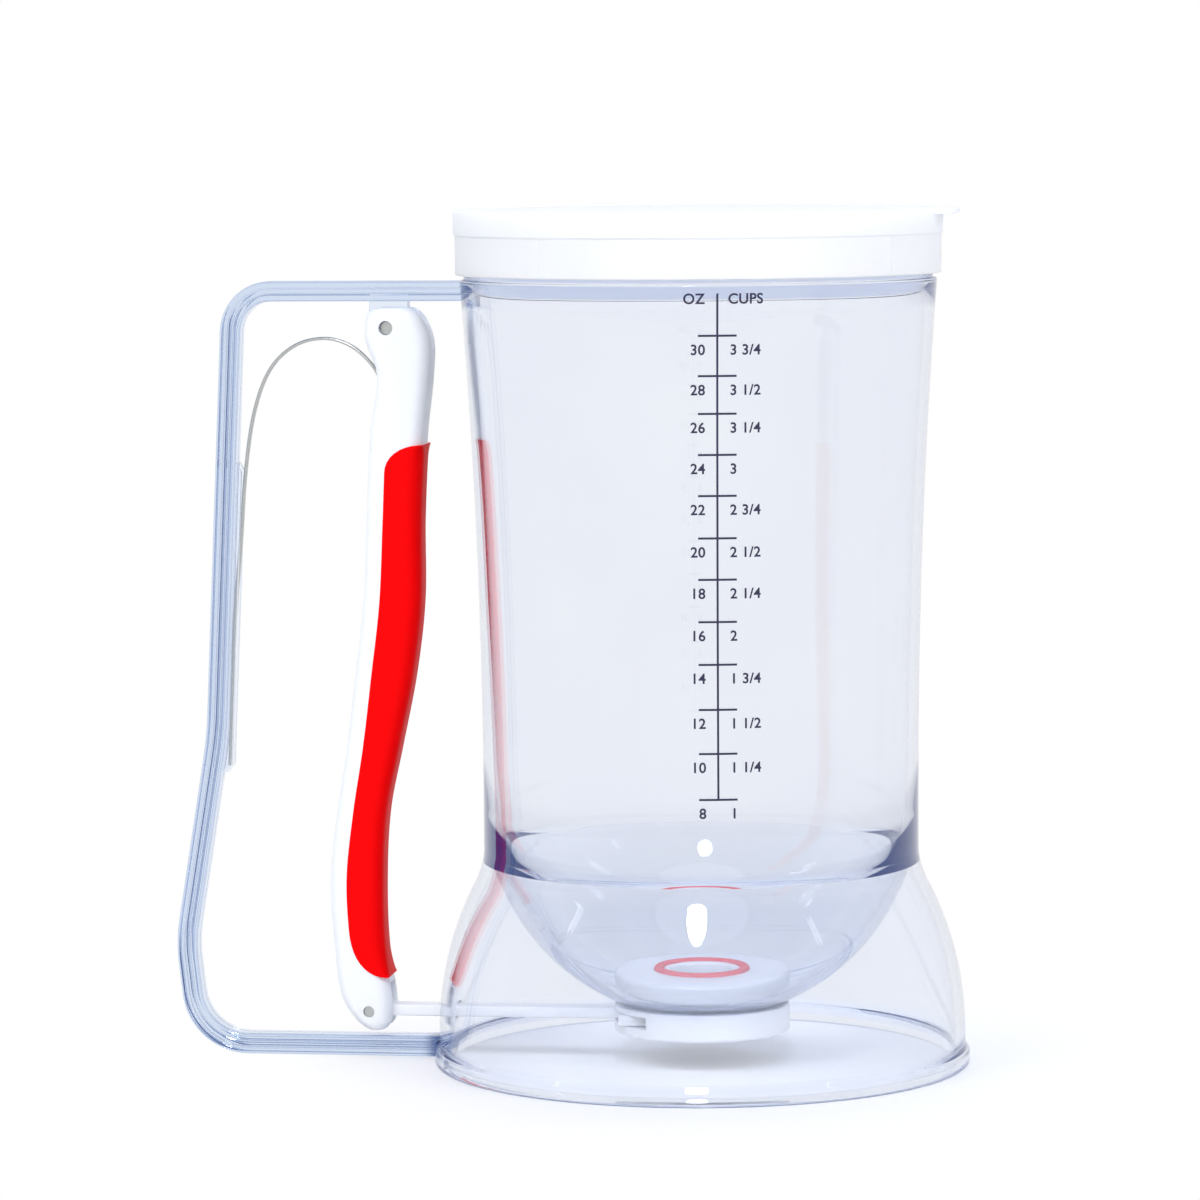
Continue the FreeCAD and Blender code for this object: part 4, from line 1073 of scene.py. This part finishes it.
def glow_inside(material):
    """A painted glow on the lid's inner faces stands in for the light that comes through the lid."""
    tree = material.node_tree
    place = object_place(tree)
    height = add_node(tree, "ShaderNodeSeparateXYZ", {0: place}).outputs["Z"]
    flat = add_node(tree, "ShaderNodeVectorMath", {0: place, 1: (1, 1, 0)}, operation="MULTIPLY")
    below = maths(tree, "LESS_THAN", height, LID_GLOW_TOP * MM)
    within = maths(tree, "LESS_THAN", axis_distance(tree, flat.outputs["Vector"]), LID_GLOW_RADIUS * MM)
    inside = maths(tree, "MULTIPLY", below, within)
    # Painted glow: an emission on the lid's faces below its top and within the neck
    feed(tree, tree.nodes["Principled BSDF"], {
        "Emission Color": mix_colour(tree, inside, (0, 0, 0, 1), LID_PAINTED_GLOW), "Emission Strength": 1.0})


CLEAR = clear_plastic("clear_plastic", tint=(0.0, 0.14, 0.50), density=30.0)
HOOP = clear_plastic("hoop_plastic", tint=(0.05, 0.32, 0.72), density=66.0)
darken_welds(HOOP)
WHITE = moulded_material(
    "white_plastic", colour=(0.90, 0.915, 0.94), worn=(0.97, 0.97, 0.97), amount=0.3, grain=1400.0,
    roughness=0.34, spread=0.10, bump=0.06, Subsurface_Weight=0.15, Subsurface_Radius=(0.004, 0.004, 0.005),
    Subsurface_Scale=1.0)
LID = moulded_material(
    "lid_plastic", colour=(0.90, 0.92, 0.95), worn=(0.98, 0.98, 0.99), amount=0.3, grain=1100.0,
    roughness=0.42, spread=0.12, bump=0.08, Subsurface_Weight=0.5, Subsurface_Radius=(0.006, 0.007, 0.009),
    Subsurface_Scale=1.0)
glow_inside(LID)
RED = moulded_material(
    "red_rubber", colour=(0.93, 0.0, 0.001), worn=(0.96, 0.012, 0.008), amount=0.3, grain=2200.0,
    roughness=0.48, spread=0.12, bump=0.12, Specular_IOR_Level=0.05)
SEAL = moulded_material(
    "seal_rubber", colour=(0.88, 0.16, 0.19), worn=(0.92, 0.30, 0.32), amount=0.3, grain=2200.0,
    roughness=0.48, spread=0.12, bump=0.12, Specular_IOR_Level=0.05)
STEEL = moulded_material(
    "steel", colour=(0.50, 0.51, 0.50), worn=(0.75, 0.75, 0.74), amount=0.4, grain=2600.0, roughness=0.33,
    spread=0.16, bump=0.10, Metallic=1.0)
INK = moulded_material(
    "ink", colour=(0.012, 0.010, 0.045), worn=(0.03, 0.03, 0.08), amount=0.2, grain=5000.0, roughness=0.45,
    spread=0.10, bump=0.0)
GASKET = moulded_material(
    "white_rubber", colour=(0.80, 0.81, 0.82), worn=(0.88, 0.88, 0.88), amount=0.2, grain=2200.0,
    roughness=0.55, spread=0.10, bump=0.08)


# The object's pieces

def dress(piece, material, body, slot, *nodes):
    piece.data.materials.clear()
    piece.data.materials.append(material)
    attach(piece, body)
    if nodes:
        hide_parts(*nodes)


dress(make_jug(), CLEAR, "jug", "clear_plastic", "jug_barrel", "funnel", "base_skirt")
dress(make_hoop(), HOOP, "jug", "clear_plastic", "handle_frame")
dress(make_lid(), LID, "lid", "lid_plastic", "lid")
grip = make_grip()
dress(make_lever(), WHITE, "lever", "white_plastic", "lever")
dress(grip, RED, "lever", "red_rubber", "lever_grip")
dress(make_pin("pivot_rod", PIVOT, *PIVOT_PIN), STEEL, "jug", "steel", "pivot_pin")
dress(make_pin("link_rod", EYE, *LINK_PIN), STEEL, "lever", "steel", "link_pin")
dress(make_gate(), WHITE, "gate", "white_plastic", "gate_slide")
dress(make_seat(), WHITE, "jug", "white_plastic", "valve_seat")
dress(make_seal(), SEAL, "jug", "red_rubber", "seat_seal")
dress(make_housing(), WHITE, "jug", "white_plastic", "valve_housing")
dress(make_gasket(), GASKET, "jug", "white_rubber", "bowl_gasket")
dress(make_print(), INK, "jug", "clear_plastic")

strip = make_spring()
strip.data.materials.append(STEEL)
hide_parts("return_spring")
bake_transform(strip)


# Floor, light and camera

def backdrop_rays(tree):
    """1 for rays that should see a white background: from the camera, a mirror or a clear piece."""
    path = add_node(tree, "ShaderNodeLightPath").outputs
    seen = maths(tree, "MAXIMUM", path["Is Camera Ray"], path["Is Glossy Ray"])
    return maths(tree, "MAXIMUM", seen, path["Is Transmission Ray"])


def make_floor():
    """Pale floor with the jug's shadow; further out it turns into the white background."""
    bm = bmesh.new()
    corners = ((-1, -1), (1, -1), (1, 1), (-1, 1))
    bm.faces.new([bm.verts.new((x * FLOOR_REACH, y * FLOOR_REACH, 0)) for x, y in corners])
    floor = finish_mesh("floor", bm)
    material, tree, shader = new_material("pale_floor")
    rays = backdrop_rays(tree)
    feed(tree, shader, {
        "Base Color": FLOOR_COLOUR, "Roughness": FLOOR_ROUGHNESS, "Specular IOR Level": FLOOR_SHINE,
        "Emission Color": WHITE_LIGHT, "Emission Strength": maths(tree, "MULTIPLY", rays, FLOOR_GLOW)})
    distance = axis_distance(tree, object_place(tree))
    fade = map_range(tree, distance, "SMOOTHSTEP", from_min=FLOOR_FADE[0], from_max=FLOOR_FADE[1])
    white = add_node(tree, "ShaderNodeEmission").outputs["Emission"]
    share = maths(tree, "MULTIPLY", fade, rays)
    feed(tree, tree.nodes["Material Output"], {
        "Surface": mix_shader(tree, share, shader.outputs["BSDF"], white)})
    floor.data.materials.append(material)


def make_world():
    """White at eye level and below; bluer and darker overhead, which draws the clear edges."""
    world = bpy.data.worlds.new("studio")
    bpy.context.scene.world = world
    world.use_nodes = True
    tree = world.node_tree
    place = add_node(tree, "ShaderNodeTexCoord").outputs["Generated"]
    ramp = add_node(tree, "ShaderNodeValToRGB", {
        "Fac": add_node(tree, "ShaderNodeSeparateXYZ", {0: place}).outputs["Z"]})
    for stop, edge, colour in zip(ramp.color_ramp.elements, SKY_EDGE, (WHITE_LIGHT, SKY_COLOUR)):
        stop.position = edge
        stop.color = colour
    camera_ray = add_node(tree, "ShaderNodeLightPath").outputs["Is Camera Ray"]
    feed(tree, tree.nodes["Background"], {
        "Color": mix_colour(tree, camera_ray, ramp.outputs["Color"], WHITE_LIGHT),
        "Strength": map_range(tree, backdrop_rays(tree), to_min=SKY_STRENGTH, to_max=1.0)})


def add_lamp(name, spot, width, height, power, mirrored):
    """A soft lamp that faces the middle of the jug. Only a mirrored one shows in glossy pieces."""
    light = bpy.data.lights.new(name, "AREA")
    light.shape = "ELLIPSE"
    light.size = width
    light.size_y = height
    light.energy = power
    lamp = bpy.data.objects.new(name, light)
    lamp.location = spot
    lamp.visible_glossy = mirrored
    lamp.visible_transmission = mirrored
    lamp.rotation_euler = (to_world(*LAMP_TARGET) - Vector(spot)).to_track_quat("-Z", "Y").to_euler()
    bpy.context.scene.collection.objects.link(lamp)


def add_camera():
    """The camera's place was found about the jug's axis; the jug's own turn is added to it."""
    forward = Vector((math.sin(CAMERA_YAW) * math.cos(CAMERA_PITCH),
                      math.cos(CAMERA_YAW) * math.cos(CAMERA_PITCH), -math.sin(CAMERA_PITCH)))
    level = Vector((math.cos(CAMERA_YAW), -math.sin(CAMERA_YAW), 0))
    up = level.cross(forward)
    right = level * math.cos(CAMERA_ROLL) + up * math.sin(CAMERA_ROLL)
    above = up * math.cos(CAMERA_ROLL) - level * math.sin(CAMERA_ROLL)
    turn = Matrix.Rotation(JUG_TURN, 3, "Z")
    pose = Matrix([turn @ axis for axis in (right, above, -forward)]).transposed().to_4x4()
    pose.translation = turn @ (Vector(CAMERA_SPOT) * MM) + Vector((AXIS_X * MM, 0, 0))
    data = bpy.data.cameras.new("camera")
    data.sensor_width = CAMERA_SENSOR
    data.lens = CAMERA_LENS
    data.clip_end = CAMERA_FAR
    camera = bpy.data.objects.new("camera", data)
    camera.matrix_world = pose
    bpy.context.scene.collection.objects.link(camera)
    bpy.context.scene.camera = camera


make_floor()
make_world()
for lamp in LAMPS:
    add_lamp(*lamp)
add_camera()

scene = bpy.context.scene
scene.view_settings.view_transform = "Standard"
scene.cycles.max_bounces = BOUNCES
scene.cycles.transmission_bounces = BOUNCES
scene.cycles.transparent_max_bounces = BOUNCES
scene.cycles.glossy_bounces = BOUNCES
